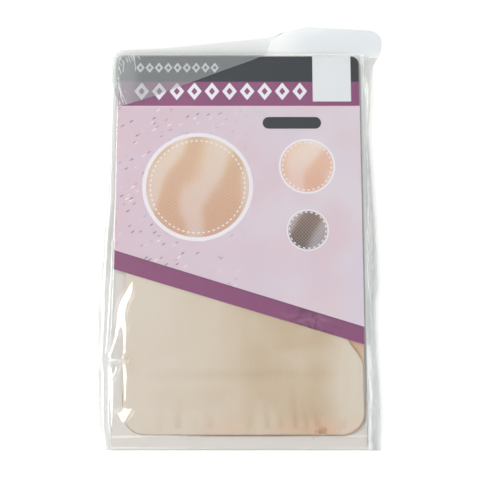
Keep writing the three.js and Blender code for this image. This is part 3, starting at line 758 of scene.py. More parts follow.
def knit_material():
    """Fine beige knit, greyer at the left and warmer at the right, with soft blotches, painted shade along
    faint folds and in the dips of its gathers, and a painted shade strip beside the upper layer's fold.
    """
    material, n, surface = new_material("beige_knit")
    place = n.place()
    x, y, z = n.split(place)
    across = n.step(x, CROWN_LOW.x, CROWN_HIGH.x)
    base = n.mix(across, KNIT_LEFT, KNIT_RIGHT)
    clouds = n.patches(place, 26.0, 3.0, 0.35, 0.72)
    base = n.paint(base, KNIT_DEEP, clouds, n.plus(0.16, n.times(across, 0.4)))
    # Painted shade along faint straight folds, as stretched darker stripes
    for stretch, strength in KNIT_FOLD_LINE_SHADE:
        fold_line_shade = n.patches(n.mapped(place, Scale=stretch), 1.0, 2.0, 0.5, 0.68)
        base = n.paint(base, KNIT_DEEP, fold_line_shade, strength)
    base = n.paint(base, KNIT_PALE, n.patches(place, 40.0, 2.0, 0.5, 0.75), 0.3)
    wander = n.times(n.minus(n.noise(place, 32.0), 0.5), PALE_RIM_WANDER)
    base = n.paint(base, KNIT_PALE, n.step(n.plus(x, wander), *PALE_RIM), 0.85)
    flush = n.patches(place, 55.0, 2.0, 0.38, 0.62)
    base = n.paint(base, KNIT_PINK, flush, across, n.rest(n.step(y, *FLUSHED_END)), 0.7)
    # Painted shade in the dips of the gathers and folds
    base = n.paint(base, KNIT_DIP_SHADE, n.mark("dip_shade"), 0.5)
    shelf = n.below(z, CROWN_LOW.z + SHELF_THICKNESS + 0.2 * MM, 0.15 * MM)
    base = n.paint(base, KNIT_UNDER, shelf, n.step(y, *UNDER_SHOWS))
    # Painted shade: a brown strip on the lower layer beside the upper layer's fold
    base = n.paint(base, KNIT_FOLD_SHADE, n.mark("turned"), 0.9)
    grain = n.group(KNIT_GRAIN, Place=place, Pitch=KNIT_PITCH)
    base = n.shaded(base, grain["Shade"])
    normal = n.bump(grain["Height"], 0.06 * MM)
    matte(n, surface, base, 0.9, Normal=normal, Sheen_Weight=0.2, Sheen_Roughness=0.5)
    return material


def hem_material():
    """The hem's doubled knit, a little darker and more tightly drawn."""
    material, n, surface = new_material("hem_knit")
    place = n.place()
    grain = n.group(KNIT_GRAIN, Place=place, Pitch=HEM_PITCH)
    base = n.mix(n.noise(place, 45.0, 2.0), KNIT_DEEP, KNIT_RIGHT)
    base = n.paint(base, KNIT_PALE, grain["Height"], 0.25)
    matte(n, surface, base, 0.9, Normal=n.bump(grain["Height"], 0.16 * MM), Sheen_Weight=0.3)
    return material


def thread_material(name, dark, light, pale):
    """Twisted sewing thread, painted paler towards both sides of the pack to lighten the shade it lies in
    there.
    """
    material, n, surface = new_material(name)
    place = n.place()
    x, y, _ = n.split(place)
    twist = n.sine(n.times(n.plus(x, n.times(y, 1.7)), 9000.0))
    base = n.mix(n.noise(place, 300.0), dark, light)
    # Painted lighter towards both sides, where the seam lies in shade
    base = n.mix(n.step(x, *THREAD_LEFT), pale, base)
    base = n.paint(base, pale, n.step(x, *THREAD_RIGHT), 0.7)
    matte(n, surface, base, 0.75, Normal=n.bump(twist, 0.03 * MM), Sheen_Weight=0.2)
    return material


def back_card_material():
    """White pressed board, greyer along its cut edges."""
    material, n, surface = new_material("white_board")
    place = n.place()
    fibre = n.group(PAPER_FIBRE, Place=place)
    edge = n.group(CARD_EDGE, Place=place, Left=BOARD_LOW.x, Right=BOARD_HIGH.x, Head=BOARD_HIGH.y)
    base = n.paint(BOARD_WHITE, BOARD_WORN, edge["Mask"], 0.35)
    base = n.shaded(base, fibre["Shade"])
    matte(n, surface, base, 0.62, Normal=n.bump(fibre["Height"], 0.02 * MM))
    return material


def print_ground(n, place, u):
    """Mottled lilac, pinker at the left, with fine leaning specks there."""
    base = n.mix(n.step(u, 0.0, 1.0), GROUND_LEFT, GROUND_RIGHT)
    base = n.paint(base, GROUND_PINK, n.patches(place, 34.0, 3.0, 0.4, 0.7), 0.55)
    base = n.paint(base, GROUND_COOL, n.patches(place, 22.0, 2.0, 0.5, 0.75), 0.5)
    drawn = n.mapped(n.mapped(place, Rotation=(0, 0, -SPECK_LEAN)), Scale=(0.3, 1.0, 1.0))
    left_side = n.rest(n.step(u, 0.3, 0.62))
    for kind in SPECKS:
        cells = n.add("ShaderNodeTexVoronoi", {"Vector": drawn, "Scale": kind["scale"]}).outputs
        kept = n.math("GREATER_THAN", n.split(cells["Color"])[0], 0.52)
        dot = n.below(cells["Distance"], kind["reach"], 0.1)
        base = n.paint(base, kind["tone"], dot, kept, left_side, kind["strength"])
    return base


def print_swatches(n, base, place, u, v):
    """Round swatches in cloth tones: soft pleats under a woven grid, a dashed ring and a pale rim."""
    drift = n.times(n.noise(place, 26.0, 1.0), 9.0)
    pleat = n.sine(n.plus(n.times(n.plus(u, n.times(v, 0.35)), 34.0), drift))
    threads = [n.unsigned(n.sine(n.times(way, 230.0))) for way in (n.plus(u, v), n.minus(u, v))]
    grid = n.below(n.math("MINIMUM", *threads), 0.2, 0.08)
    for swatch in PRINT_SWATCHES:
        radius = swatch["radius"]
        off_u = n.minus(u, swatch["u"])
        off_v = n.minus(v, swatch["v"])
        distance = n.distance(off_u, off_v)
        cloth = n.mix(n.step(off_v, -radius, radius), swatch["tone"], swatch["shade"])
        cloth = n.paint(cloth, swatch["shade"], n.step(pleat, -0.4, 1.0), 0.5)
        cloth = n.paint(cloth, PRINT_WHITE, n.step(pleat, 0.2, -1.0), 0.28)
        cloth = n.paint(cloth, PRINT_WHITE, grid, 0.3)
        turns = n.times(n.math("ARCTAN2", off_v, off_u), round(radius * SWATCH_DASHES))
        inner = radius * SWATCH_RING
        ring = n.between(distance, inner, inner + SWATCH_RING_WIDTH)
        cloth = n.paint(cloth, PRINT_WHITE, ring, n.step(n.sine(turns), -0.2, 0.2), 0.85)
        base = n.paint(base, PRINT_WHITE, n.below(distance, radius), 0.85)
        base = n.paint(base, cloth, n.below(distance, radius * SWATCH_CLOTH))
    return base


def print_label(n, base, u, v):
    """A bare dark label with round ends."""
    half = PRINT_LABEL["half"]
    past_left = n.minus(PRINT_LABEL["left"] + half, u)
    past_right = n.minus(u, PRINT_LABEL["right"] - half)
    past = n.math("MAXIMUM", n.math("MAXIMUM", past_left, past_right), 0.0)
    distance = n.distance(past, n.minus(v, PRINT_LABEL["v"]))
    return n.paint(base, PRINT_DARK, n.below(distance, half))


def print_header(n, base, place, u, v):
    """The dark and the purple band at the head, two rows of plain lozenges and a bare box."""
    purple = n.mix(n.patches(place, 18.0, 2.0, 0.35, 0.7), PRINT_PURPLE, PRINT_PURPLE_LIGHT)
    base = n.paint(base, PRINT_LINE, n.below(v, PRINT_HEADER_END + PRINT_HEADER_LINE))
    base = n.paint(base, purple, n.below(v, PRINT_HEADER_END))
    base = n.paint(base, PRINT_DARK, n.below(v, PRINT_DARK_END))
    for row in PRINT_LOZENGES:
        count = n.math("DIVIDE", n.minus(u, row["from"]), row["pitch"])
        off = n.times(n.minus(n.math("FRACT", count), 0.5), row["pitch"])
        reach = n.plus(n.unsigned(n.times(off, 1.25)), n.unsigned(n.minus(v, row["v"])))
        shape = n.minus(n.below(reach, row["half"]), n.below(reach, row["half"] * 0.42))
        base = n.paint(base, PRINT_WHITE, shape, n.between(u, row["from"], row["to"]))
    across = n.between(u, PRINT_BLANK["left"], PRINT_BLANK["right"])
    return n.paint(base, PRINT_BARE, across, n.below(v, PRINT_BLANK["end"]))


def slanting(n, u, ends):
    """A number that changes evenly from the card's left side to its right."""
    return n.plus(ends[0], n.times(u, ends[1] - ends[0]))


def print_foot_band(n, base, place, u, v):
    """The purple band along the slanted lower edge, with painted crease shade in one place and a ragged
    painted shadow along the lower edge there, and a thin dark line above.
    """
    above = n.minus(slanting(n, u, PRINT_FOOT), v)
    over = n.minus(above, slanting(n, u, PRINT_FOOT_BAND))
    purple = n.mix(n.patches(place, 30.0, 3.0, 0.35, 0.7), BAND_PURPLE, PRINT_PURPLE)
    near = n.between(u, 0.72, 0.88, 0.06)
    # Painted crease shade where the card is crumpled
    crumpled = n.patches(place, 160.0, 2.0, 0.42, 0.56)
    purple = n.paint(purple, BAND_CREASE_SHADE, n.cracks(place, 150.0, 0.1), near, crumpled, 0.75)
    # Painted shadow, ragged, along the card's slanted lower edge there
    ragged = n.patches(place, 420.0, 1.0, 0.42, 0.6)
    purple = n.paint(purple, BAND_CREASE_SHADE, n.below(above, 0.009, 0.006), ragged, near, 0.8)
    base = n.paint(base, BAND_LINE, n.below(over, PRINT_FOOT_LINE))
    return n.paint(base, purple, n.below(over, 0.0))


def front_card_material():
    """Printed card: bands, lozenges and swatches on lilac, with white board at its cut edges."""
    material, n, surface = new_material("printed_card")
    place = n.place()
    x, y, _ = n.split(place)
    u = n.math("DIVIDE", n.minus(x, COVER_LOW.x), CARD_WIDTH)
    v = n.math("DIVIDE", n.minus(COVER_HIGH.y, y), CARD_WIDTH)
    base = print_ground(n, place, u)
    base = print_swatches(n, base, place, u, v)
    base = print_label(n, base, u, v)
    base = print_header(n, base, place, u, v)
    base = print_foot_band(n, base, place, u, v)
    fibre = n.group(PAPER_FIBRE, Place=place)
    sides = {"Left": COVER_LOW.x, "Right": COVER_HIGH.x, "Head": COVER_HIGH.y, "Width": 0.35 * MM}
    edge = n.group(CARD_EDGE, Place=place, **sides)
    base = n.paint(base, BOARD_WHITE, edge["Mask"], 0.5)
    facing = n.split(n.add("ShaderNodeNewGeometry").outputs["Normal"])[2]
    base = n.paint(base, BOARD_WHITE, n.below(facing, 0.5, 0.1))
    rough = n.plus(0.34, n.times(fibre["Height"], 0.12))
    matte(n, surface, base, rough, Normal=n.bump(fibre["Height"], 0.01 * MM))
    return material


# The looks of one film each: its haze, tint and gloss


def front_looks(n, x, y, z):
    """The front film: a painted highlight along the mouth and painted sheen where it bends down at the right;
    grey beyond the cards, with a painted shadow beside the cards' right side in the lower part.
    """
    # Painted highlight: a white line along the mouth
    mouth = n.times(n.step(y, *MOUTH_LINE), MOUTH_HIGHLIGHT)
    # Painted sheen: white haze where the film bends down past the right side, lightening the shade there
    bent = n.times(n.between(x, *RIGHT_BEND, 0.7 * MM), BEND_SHEEN)
    lower_part = n.rest(n.step(y, *UPPER_PART))
    fading = n.rest(n.times(n.step(x, *RIGHT_FADE), 0.6))
    # Painted shadow: a darker film tint beside the cards' right side in the lower part, fading outward
    tint = n.paint(FILM_TINT, RIGHT_SHADOW_TINT, n.step(x, *RIGHT_START), fading, lower_part)
    tint = n.paint(tint, LEFT_TINT, n.below(x, LEFT_END, 0.8 * MM), lower_part)
    return n.plus(FRONT_HAZE, mouth, bent), tint, FILM_GLOSS


def back_looks(n, x, y, z):
    """The back film: its flap is greyer, less glossy past the mouth, and hazy where it is folded over, a haze
    that partly stands in as a painted reflection of bright light.
    """
    folded = n.times(n.step(z, *FLAP_STEP), n.below(y, FRONT_HIGH.y, 0.5 * MM))
    past_mouth = n.step(y, *PAST_MOUTH)
    corner = n.times(n.rest(n.step(x, *FLAP_LEFT_END)), CORNER_HAZE)
    haze = n.plus(FLAP_HAZE, n.times(folded, n.plus(FOLDED_HAZE_AND_SHEEN - FLAP_HAZE, corner)))
    loose = n.mix(n.step(x, *FLAP_TURNS), BEND_TINT, FLAP_TINT)
    tint = n.mix(folded, n.mix(past_mouth, FILM_TINT, loose), FOLDED_TINT)
    return haze, tint, n.times(n.rest(n.times(past_mouth, 0.65)), FILM_GLOSS)


def pinched_looks(n, x, y, z):
    """Sharply pinched film, nearly white, partly by its own whitening and partly as a painted highlight along
    the fine creases.
    """
    return PINCH_WHITE_AND_HIGHLIGHT, FILM_TINT, FILM_GLOSS


def film_material(name, looks, crinkle, depth):
    """Clear glossy film: what is behind it shows through, with some haze and bright reflections."""
    material, n, surface = new_material(name)
    place = n.place()
    x, y, z = n.split(place)
    haze, tint, gloss = looks(n, x, y, z)
    seal = n.mark("seal")
    # Crest white is partly the film's own whitening and partly a painted highlight
    clouded = n.plus(haze, n.times(n.mark("crease"), CREASE_WHITE_AND_HIGHLIGHT), n.times(seal, SEAL_HAZE))
    ribs = n.times(n.sine(n.times(y, 2 * math.pi / SEAL["pitch"])), seal, 0.6)
    normal = n.bump(n.plus(n.group(FILM_RIPPLE, Place=place, Crinkle=crinkle)["Height"], ribs), depth)
    rim = n.add("ShaderNodeLayerWeight", {"Blend": 0.35, "Normal": normal}).outputs["Fresnel"]
    shine = n.times(n.math("MINIMUM", rim, FILM_RIM_LIMIT), gloss)
    share = n.math("ADD", clouded, shine, clamp=True)
    mirror = n.times(n.math("DIVIDE", shine, share), 0.95)
    shadow = n.add("ShaderNodeLightPath").outputs["Is Shadow Ray"]
    seen = n.times(share, n.rest(n.times(shadow, 0.75)))
    clear = n.add("ShaderNodeBsdfTransparent", {"Color": tint})
    inputs = {"Base Color": FILM_WHITE, "Roughness": 0.07, "Metallic": mirror, "Normal": normal}
    shiny = n.add("ShaderNodeBsdfPrincipled", inputs)
    mixed = n.add("ShaderNodeMixShader", {0: seen, 1: clear.outputs[0], 2: shiny.outputs[0]})
    n.feed(surface, mixed.outputs[0])
    return material


# Cap


def stretch_distance(x, y, start, end):
    """How far a point lies from a stretch, and where along it, from 0 to 1."""
    run_x, run_y = end[0] - start[0], end[1] - start[1]
    share = ((x - start[0]) * run_x + (y - start[1]) * run_y) / (run_x ** 2 + run_y ** 2)
    share = min(1.0, max(0.0, share))
    return math.hypot(x - start[0] - share * run_x, y - start[1] - share * run_y), share


def drawn_relief(x, y):
    """Height of the crown's gathers and folds above its flat."""
    rise = y - CROWN_LOW.y
    relief = 0.0
    for gather in GATHERS:
        run = rise / (gather["reach"] * CAP_LENGTH)
        if run < 1:
            middle = CROWN_LOW.x + (gather["across"] + gather["lean"] * run) * CAP_WIDTH
            spread = gather["width"] * (0.5 + 0.7 * run) * MM
            relief -= gather["depth"] * MM * ease(1 - run) * bell(x - middle, spread)
    for fold in FOLDS:
        ends = [
            (CROWN_LOW.x + across * CAP_WIDTH, CROWN_LOW.y + along * CAP_LENGTH)
            for across, along in (fold["start"], fold["end"])
        ]
        off, share = stretch_distance(x, y, *ends)
        crest = math.sin(math.pi * lerp(0.1, 0.9, share))
        relief += fold["rise"] * MM * bell(off, fold["width"] * MM) * crest
    return relief


def crown_relief(x, y):
    """Height of the crown's upper layer above its flat: gathers, folds and soft waves."""
    return drawn_relief(x, y) + waves(x, y, CROWN_WAVES)


def crown_tuck(share):
    """How far the upper layer draws in from the right side, in metres."""
    places, tucks = zip(*TUCKS)
    return float(np.interp(share, places, tucks)) * CAP_WIDTH


def mark_knit(piece):
    """Keeps on each point of the crown how deep it lies in a gather or dipped fold, for the painted shade
    there, and how near below the turned fold it lies, for the painted shade beside that fold.
    """
    dip_shades, folds = [], []
    for vertex in piece.data.vertices:
        x, y, z = vertex.co
        rise = max(y - CROWN_LOW.y, 0.0)
        tuck = crown_tuck(rise / CROWN_LENGTH)
        ridge = CROWN_HIGH.x - corner_inset(rise) - SHELF_REACH - tuck
        on_shelf = SHELF_FACE[0] < z - CROWN_LOW.z < SHELF_FACE[1]
        near = 1 - max(x - ridge, 0.0) / FOLD_SHADE_WIDTH
        # Painted shade beside the fold, strongest near it and where it draws in most
        turned = max(0.0, near) * ease(tuck / FOLD_SHADE_TUCK)
        folds.append(turned if on_shelf and x > ridge - FOLD_SHADE_UNDER else 0.0)
        # Painted shade: the deeper the dip of a gather or fold, the darker
        depth = min(1.0, max(0.0, -drawn_relief(x, y) / DIP_SHADE_DEPTH))
        dip_shades.append(depth if z > CROWN_LOW.z + SHELF_THICKNESS else 0.0)
    keep_marks(piece, "turned", np.array(folds))
    keep_marks(piece, "dip_shade", np.array(dip_shades))


def tube_section(left, ridge, edge, floor, loft, shelf):
    """Points (x, z, upper) round the flattened tube, and whether each is on its upper layer."""
    roll = loft / 2
    lip = shelf / 2
    fold = (loft - shelf) / 2
    points = []

    def run(start, end, steps, upper=0):
        for k in range(steps):
            points.append((*(lerp(a, b, k / steps) for a, b in zip(start, end)), upper))

    def turn(x, z, radius, from_angle, steps):
        for k in range(steps):
            angle = from_angle + math.pi * k / steps
            points.append((x + radius * math.cos(angle), z + radius * math.sin(angle), 0))

    run((left + roll, floor), (edge - lip, floor), TUBE_STEPS["floor"])
    turn(edge - lip, floor + lip, lip, -math.pi / 2, TUBE_STEPS["lip"])
    run((edge - lip, floor + shelf), (ridge - fold, floor + shelf), TUBE_STEPS["shelf"])
    turn(ridge - fold, floor + shelf + fold, fold, -math.pi / 2, TUBE_STEPS["fold"])
    run((ridge - fold, floor + loft), (left + roll, floor + loft), TUBE_STEPS["top"], 1)
    turn(left + roll, floor + roll, roll, math.pi / 2, TUBE_STEPS["roll"])
    return points


def corner_inset(rise):
    """How far the closed end's round corners draw in at that height."""
    left = max(CROWN_CORNER - rise, 0.0)
    return CROWN_CORNER - math.sqrt(CROWN_CORNER ** 2 - left ** 2)


def crown_section(rise):
    """The crown's section so far above its closed end."""
    inset = corner_inset(rise)
    wander = waves(rise, 0, FOLD_WAVES) * ease(rise / FOLD_WAVES_START)
    edge = CROWN_HIGH.x - inset
    ridge = edge - SHELF_REACH - crown_tuck(rise / CROWN_LENGTH) + wander
    full_loft = HEM_HIGH.z - CROWN_LOW.z - LOFT_ROOM
    loft = lerp(CLOSED_LOFT, full_loft, ease(rise / CLOSED_RUN))
    return tube_section(CROWN_LOW.x + inset, ridge, edge, CROWN_LOW.z, loft, min(SHELF_THICKNESS, loft * 0.8))


def knit_crown(material):
    """The flattened knitted tube of the cap, closed at one end."""
    turns = [math.pi / 2 * k / CROWN_CORNER_ROWS for k in range(CROWN_CORNER_ROWS)]
    straight_rows = round((CROWN_LENGTH - CROWN_CORNER) / CROWN_ROW)
    rises = [CROWN_CORNER * (1 - math.cos(turn)) for turn in turns]
    rises += [lerp(CROWN_CORNER, CROWN_LENGTH, k / straight_rows) for k in range(straight_rows + 1)]
    sections = [crown_section(rise) for rise in rises]
    count = len(sections[0])

    def place(i, j):
        x, z, upper = sections[j][i % count]
        y = CROWN_LOW.y + rises[j]
        settled = ease(rises[j] / END_SETTLES)
        y += (1 - settled) * waves(x, 0, END_WAVES)
        return (x, y, z + upper * lerp(0.35, 1, settled) * crown_relief(x, y))

    piece = add_grid("knit_crown", count + 1, len(rises), place)
    merge(piece)
    close_end(piece)
    turn_out(piece)
    mark_knit(piece)
    apply_modifier(piece, "SOLIDIFY", thickness=KNIT_WALL, offset=-1)
    dress(piece, material, smooth_angle=70)
    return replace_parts(piece, "cap_crown")


def close_end(piece):
    """Fills the open loop at the foot end of a tube."""
    activate(piece)
    bpy.ops.object.mode_set(mode="EDIT")
    bpy.ops.mesh.select_mode(type="VERT")
    bpy.ops.mesh.select_all(action="DESELECT")
    bpy.ops.mesh.select_non_manifold()
    bpy.ops.object.mode_set(mode="OBJECT")
    middle = (CROWN_LOW.y + CROWN_HIGH.y) / 2
    for vertex in piece.data.vertices:
        vertex.select = vertex.select and vertex.co.y < middle
    for edge_line in piece.data.edges:
        edge_line.select = all(piece.data.vertices[v].select for v in edge_line.vertices)
    for face in piece.data.polygons:
        face.select = False
    bpy.ops.object.mode_set(mode="EDIT")
    bpy.ops.mesh.edge_face_add()
    bpy.ops.object.mode_set(mode="OBJECT")


def hem_cuff(material):
    """The doubled hem at the cap's open end, a flattened band drawn in at its foldline."""
    rows = round((HEM_HIGH.y - HEM_LOW.y) / HEM_ROW)
    sections = []
    for j in range(rows + 1):
        swell = math.sin(math.pi * (j / rows))
        left = HEM_LOW.x + HEM_DRAW * swell
        right = HEM_HIGH.x - HEM_DRAW * swell
        loft = (HEM_HIGH.z - HEM_LOW.z) * lerp(0.86, 1.0, swell ** 0.4)
        sections.append(tube_section(left, right - HEM_SHELF, right, HEM_LOW.z, loft, SHELF_THICKNESS))
    count = len(sections[0])

    def place(i, j):
        x, z, upper = sections[j][i % count]
        rib = HEM_RIB["depth"] * math.cos(2 * math.pi * x / HEM_RIB["pitch"])
        return (x, lerp(HEM_LOW.y, HEM_HIGH.y, j / rows), z - upper * (HEM_RIB["sunk"] + rib))

    piece = add_grid("hem_cuff", count + 1, rows + 1, place)
    merge(piece)
    turn_out(piece)
    apply_modifier(piece, "SOLIDIFY", thickness=HEM_WALL, offset=-1)
    dress(piece, material, smooth_angle=70)
    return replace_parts(piece, "hem_band")


def hem_stitches(material):
    """Two rows of zigzag stitches across the hem."""
    start, end = HEM_LOW.x + HEM_STITCH_ENDS[0], HEM_HIGH.x - HEM_STITCH_ENDS[1]
    steps = round((end - start) / HEM_STITCH["pitch"])
    level = HEM_HIGH.z - HEM_STITCH["sunk"]
    pieces = []
    for number, share in enumerate(HEM_STITCH_ROWS):
        y = lerp(HEM_LOW.y, HEM_HIGH.y, share)
        swings = [HEM_STITCH["swing"] * (1 if k % 2 else -1) for k in range(steps + 1)]
        points = [(lerp(start, end, k / steps), y + swing, level) for k, swing in enumerate(swings)]
        piece = thread(f"hem_stitches_{number + 1}", [points], HEM_STITCH["radius"])
        pieces.append(dress(piece, material))
    return pieces


def seam_route(share):
    """A point of the seam's route round the closed end, and the way it heads."""
    left, right = SEAM_LOW.x + SEAM_INSET, SEAM_HIGH.x - SEAM_INSET
    foot = SEAM_LOW.y + SEAM_INSET
    side = SEAM_HIGH.y - foot - SEAM_BEND
    bend = math.pi / 2 * SEAM_BEND
    straight = right - left - 2 * SEAM_BEND

    def on_bend(middle_x, angle):
        out = Vector((math.cos(angle), math.sin(angle), 0))
        return Vector((middle_x, foot + SEAM_BEND, 0)) + SEAM_BEND * out, Vector((-out.y, out.x, 0))

    run = share * (2 * side + 2 * bend + straight)
    if run < side:
        return Vector((left, SEAM_HIGH.y - run, 0)), Vector((0, -1, 0))
    run -= side
    if run < bend:
        return on_bend(left + SEAM_BEND, math.pi + run / SEAM_BEND)
    run -= bend
    if run < straight:
        return Vector((left + SEAM_BEND + run, foot, 0)), Vector((1, 0, 0))
    run -= straight
    if run < bend:
        return on_bend(right - SEAM_BEND, -math.pi / 2 + run / SEAM_BEND)
    run -= bend
    return Vector((right, foot + SEAM_BEND + run, 0)), Vector((0, 1, 0))


def overlock_seam(material):
    """The overlock stitches round the closed end: looped thread over a straight core."""
    route_length = 2 * (SEAM_HIGH.y - SEAM_LOW.y) + SEAM_HIGH.x - SEAM_LOW.x - 1.2 * SEAM_BEND
    steps = round(route_length / LOOP["pitch"]) * LOOP["steps"]
    level = SEAM_LOW.z + SEAM_RISE
    core = []
    looped = []
    for k in range(steps + 1):
        spot, heading = seam_route(k / steps)
        inward = Vector((-heading.y, heading.x, 0))
        angle = 2 * math.pi * k / LOOP["steps"]
        rise = Vector((0, 0, level + LOOP["rise"] * math.sin(angle)))
        looped.append(spot + inward * (LOOP["inward"] + LOOP["swing"] * math.cos(angle)) + rise)
        if k % CORE_STEP == 0:
            core.append(spot + inward * CORE_INWARD + Vector((0, 0, level)))
    whip = dress(thread("seam_loops", [looped], THREAD_RADIUS), material)
    spine = dress(thread("seam_core", [core], CORE_RADIUS), material)
    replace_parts(whip, "crown_seam")
    return [whip, spine]


def thread_tail(material):
    """The loose ends of the seam's thread, curled up by its last stitches."""
    chance = random.Random(4)
    ends = []
    for number in range(TAIL_ENDS):
        spot = TAIL_ROOT + Vector((chance.uniform(*TAIL_SPREAD), 0, 0)) * MM
        heading = chance.uniform(*TAIL_HEADING)
        points = []
        for k in range(TAIL_STEPS):
            points.append(spot.copy())
            heading += chance.uniform(*TAIL_TURN)
            spot += Vector((math.cos(heading), math.sin(heading), 0)) * TAIL_STEP
            climb = ramp(spot.y, TAIL_ROOT.y, TAIL_ROOT.y + TAIL_CLIMB)
            spot.z = lerp(TAIL_ROOT.z, TAIL_TOP + TAIL_UNEVEN * math.sin(k * 0.9 + number), climb)
        ends.append(points)
    return [dress(thread("thread_tail", ends, TAIL_RADIUS), material)]


# Film bag


def ridge_stretches(ridge, x, y):
    """For each stretch of a ridge, and arrays of places: their distance from it, how far along the
    whole ridge they lie, from 0 to 1, and whether they lie to its left."""
    points = [(along * MM, up * MM) for along, up in ridge["points"]]
    whole = sum(math.dist(a, b) for a, b in zip(points, points[1:]))
    done = 0.0
    for start, end in zip(points, points[1:]):
        run = math.dist(start, end)
        dx, dy = (end[0] - start[0]) / run, (end[1] - start[1]) / run
        along = np.clip((x - start[0]) * dx + (y - start[1]) * dy, 0, run)
        off_x = x - start[0] - along * dx
        off_y = y - start[1] - along * dy
        yield np.hypot(off_x, off_y), (done + along) / whole, dx * off_y - dy * off_x > 0
        done += run


def ridge_relief(x, y):
    """Height of all ridges above the smooth film, for arrays of places."""
    relief = np.zeros_like(x)
    for ridge in RIDGES:
        nearest = np.full_like(x, np.inf)
        height = np.zeros_like(x)
        for distance, share, on_left in ridge_stretches(ridge, x, y):
            slope = np.where(on_left, ridge["left"], ridge["right"]) * MM
            crest = ridge["rise"] * MM * np.clip(1 - distance / slope, 0, 1)
            fade = np.sin(np.pi * (0.06 + 0.88 * share)) ** 0.7
            height = np.where(distance < nearest, crest * fade, height)
            nearest = np.minimum(nearest, distance)
        relief = np.maximum(relief, height) + 0.3 * np.minimum(relief, height)
    return relief


def mark_creases(piece):
    """Keeps on each point how near it lies to the crest of a ridge, where bent film turns white, partly by
    its own whitening and partly as a painted highlight.
    """
    x, y = np.array([vertex.co[:2] for vertex in piece.data.vertices]).T
    mark = np.zeros_like(x)
    for ridge in RIDGES:
        for distance, share, _ in ridge_stretches(ridge, x, y):
            fade = np.sin(np.pi * (0.08 + 0.84 * share))
            mark = np.maximum(mark, ridge.get("white", 0.0) * fade * np.exp(-((distance / WHITE_CREST) ** 2)))
    keep_marks(piece, "crease", mark)


def mark_seals(piece, lines, left, right):
    """Keeps on each point whether it lies in the heat seal along one of the film's sides."""
    x, y = np.array([vertex.co[:2] for vertex in piece.data.vertices]).T
    inside = np.minimum(x - np.interp(y, lines, left[:, 0]), np.interp(y, lines, right[:, 0]) - x)
    keep_marks(piece, "seal", np.clip(1 - (inside - SEAL["width"]) / SEAL["soft"], 0, 1))


def glint_slope(x, y):
    """How steeply film must lean to the left there to mirror the crease lamp into the camera."""
    spot = Vector((x, y, COVER_HIGH.z))
    lamp = LAMPS["crease_lamp"]["place"]
    half = (CAMERA_PLACE - spot).normalized() + (lamp - spot).normalized()
    return -half.x / half.z


def set_facets(x, y, heights):
    """The heights with each facet's even slope set into them, for arrays of places."""
    for facet in FACETS:
        lines, lefts, rights = (np.array(column) * MM for column in zip(*reversed(facet["rows"])))
        left = np.interp(y, lines, lefts)
        right = np.interp(y, lines, rights)
        middle = (left + right) / 2
        outside = np.maximum(np.maximum(left - x, x - right), 0)
        beyond = np.maximum(np.maximum(lines[0] - y, y - lines[-1]), 0)
        weight = np.clip(1 - outside / (facet["ramp"] * MM), 0, 1) * np.clip(1 - beyond / FACET_FADE, 0, 1)
        level = np.array([np.interp(m, xs, zs) for m, xs, zs in zip(middle[:, 0], x, heights)])[:, None]
        slope = glint_slope(float(middle.mean()), float(lines.mean()))
        heights = heights * (1 - weight) + weight * (level + slope * (x - middle))
    return heights


def node_surface(name):
    """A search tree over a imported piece's faces."""
    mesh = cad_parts[name].data
    return BVHTree.FromPolygons([v.co[:] for v in mesh.vertices], [p.vertices[:] for p in mesh.polygons])


def height_on(surface, x, y, beside=0.0):
    """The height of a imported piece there, or another one beside it."""
    hit = surface.ray_cast(Vector((x, y, DROP_HEIGHT)), Vector((0, 0, -1)))[0]
    return hit.z if hit else beside


def side_lines(name):
    """Where a packed film's left and right edges lie, as arrays of y, left x and right x."""
    row_height = 0.02 * MM
    fewest = 13        # points of a row that runs right across the film
    rows = {}
    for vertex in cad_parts[name].data.vertices:
        rows.setdefault(round(vertex.co.y / row_height), []).append(vertex.co.x)
    kept = sorted((key * row_height, min(xs), max(xs)) for key, xs in rows.items() if len(xs) >= fewest)
    return [np.array(column) for column in zip(*kept)]


def smoothed(values, rounds):
    """Evens out a grid of heights."""
    for _ in range(rounds):
        padded = np.pad(values, 1, mode="edge")
        values = (padded[1:-1, :-2] + 2 * values + padded[1:-1, 2:]) / 4
        padded = np.pad(values, 1, mode="edge")
        values = (padded[:-2, 1:-1] + 2 * values + padded[2:, 1:-1]) / 4
    return values


def film_columns(width):
    """Shares of the way across the film, close together at its creased sides."""
    stretches = [(0.0, 0.2, FINE_COLUMN), (0.2, 0.88, COARSE_COLUMN), (0.88, 1.0, FINE_COLUMN)]
    shares = []
    for start, end, spacing in stretches:
        steps = round((end - start) * width / spacing)
        shares += [lerp(start, end, k / steps) for k in range(steps)]
    return np.array([*shares, 1.0])


def film_places():
    """A grid of places over the front film: its lines, its two sides, and all x, y and heights."""
    ys, lefts, rights = side_lines("bag_front")
    surface = node_surface("bag_front")
    shares = film_columns(FRONT_HIGH.x - FRONT_LOW.x)
    rows = round((FRONT_HIGH.y - FRONT_LOW.y) / FILM_ROW)
    lines = np.linspace(FRONT_LOW.y + FILM_INSET, FRONT_HIGH.y - FILM_INSET, rows)
    left = smoothed(np.interp(lines, ys, lefts)[:, None], 6)
    right = smoothed(np.interp(lines, ys, rights)[:, None], 6)
    x = left + (right - left) * shares[None, :]
    y = np.repeat(lines[:, None], len(shares), axis=1)
    heights = [height_on(surface, a * FILM_MEASURED, b, FRONT_LOW.z) for a, b in zip(x.flat, y.flat)]
    low = np.array(heights).reshape(x.shape)
    level = smoothed(np.minimum(low, np.median(low, axis=1)[:, None]), 3)
    return lines, left, right, x, y, set_facets(x, y, level)


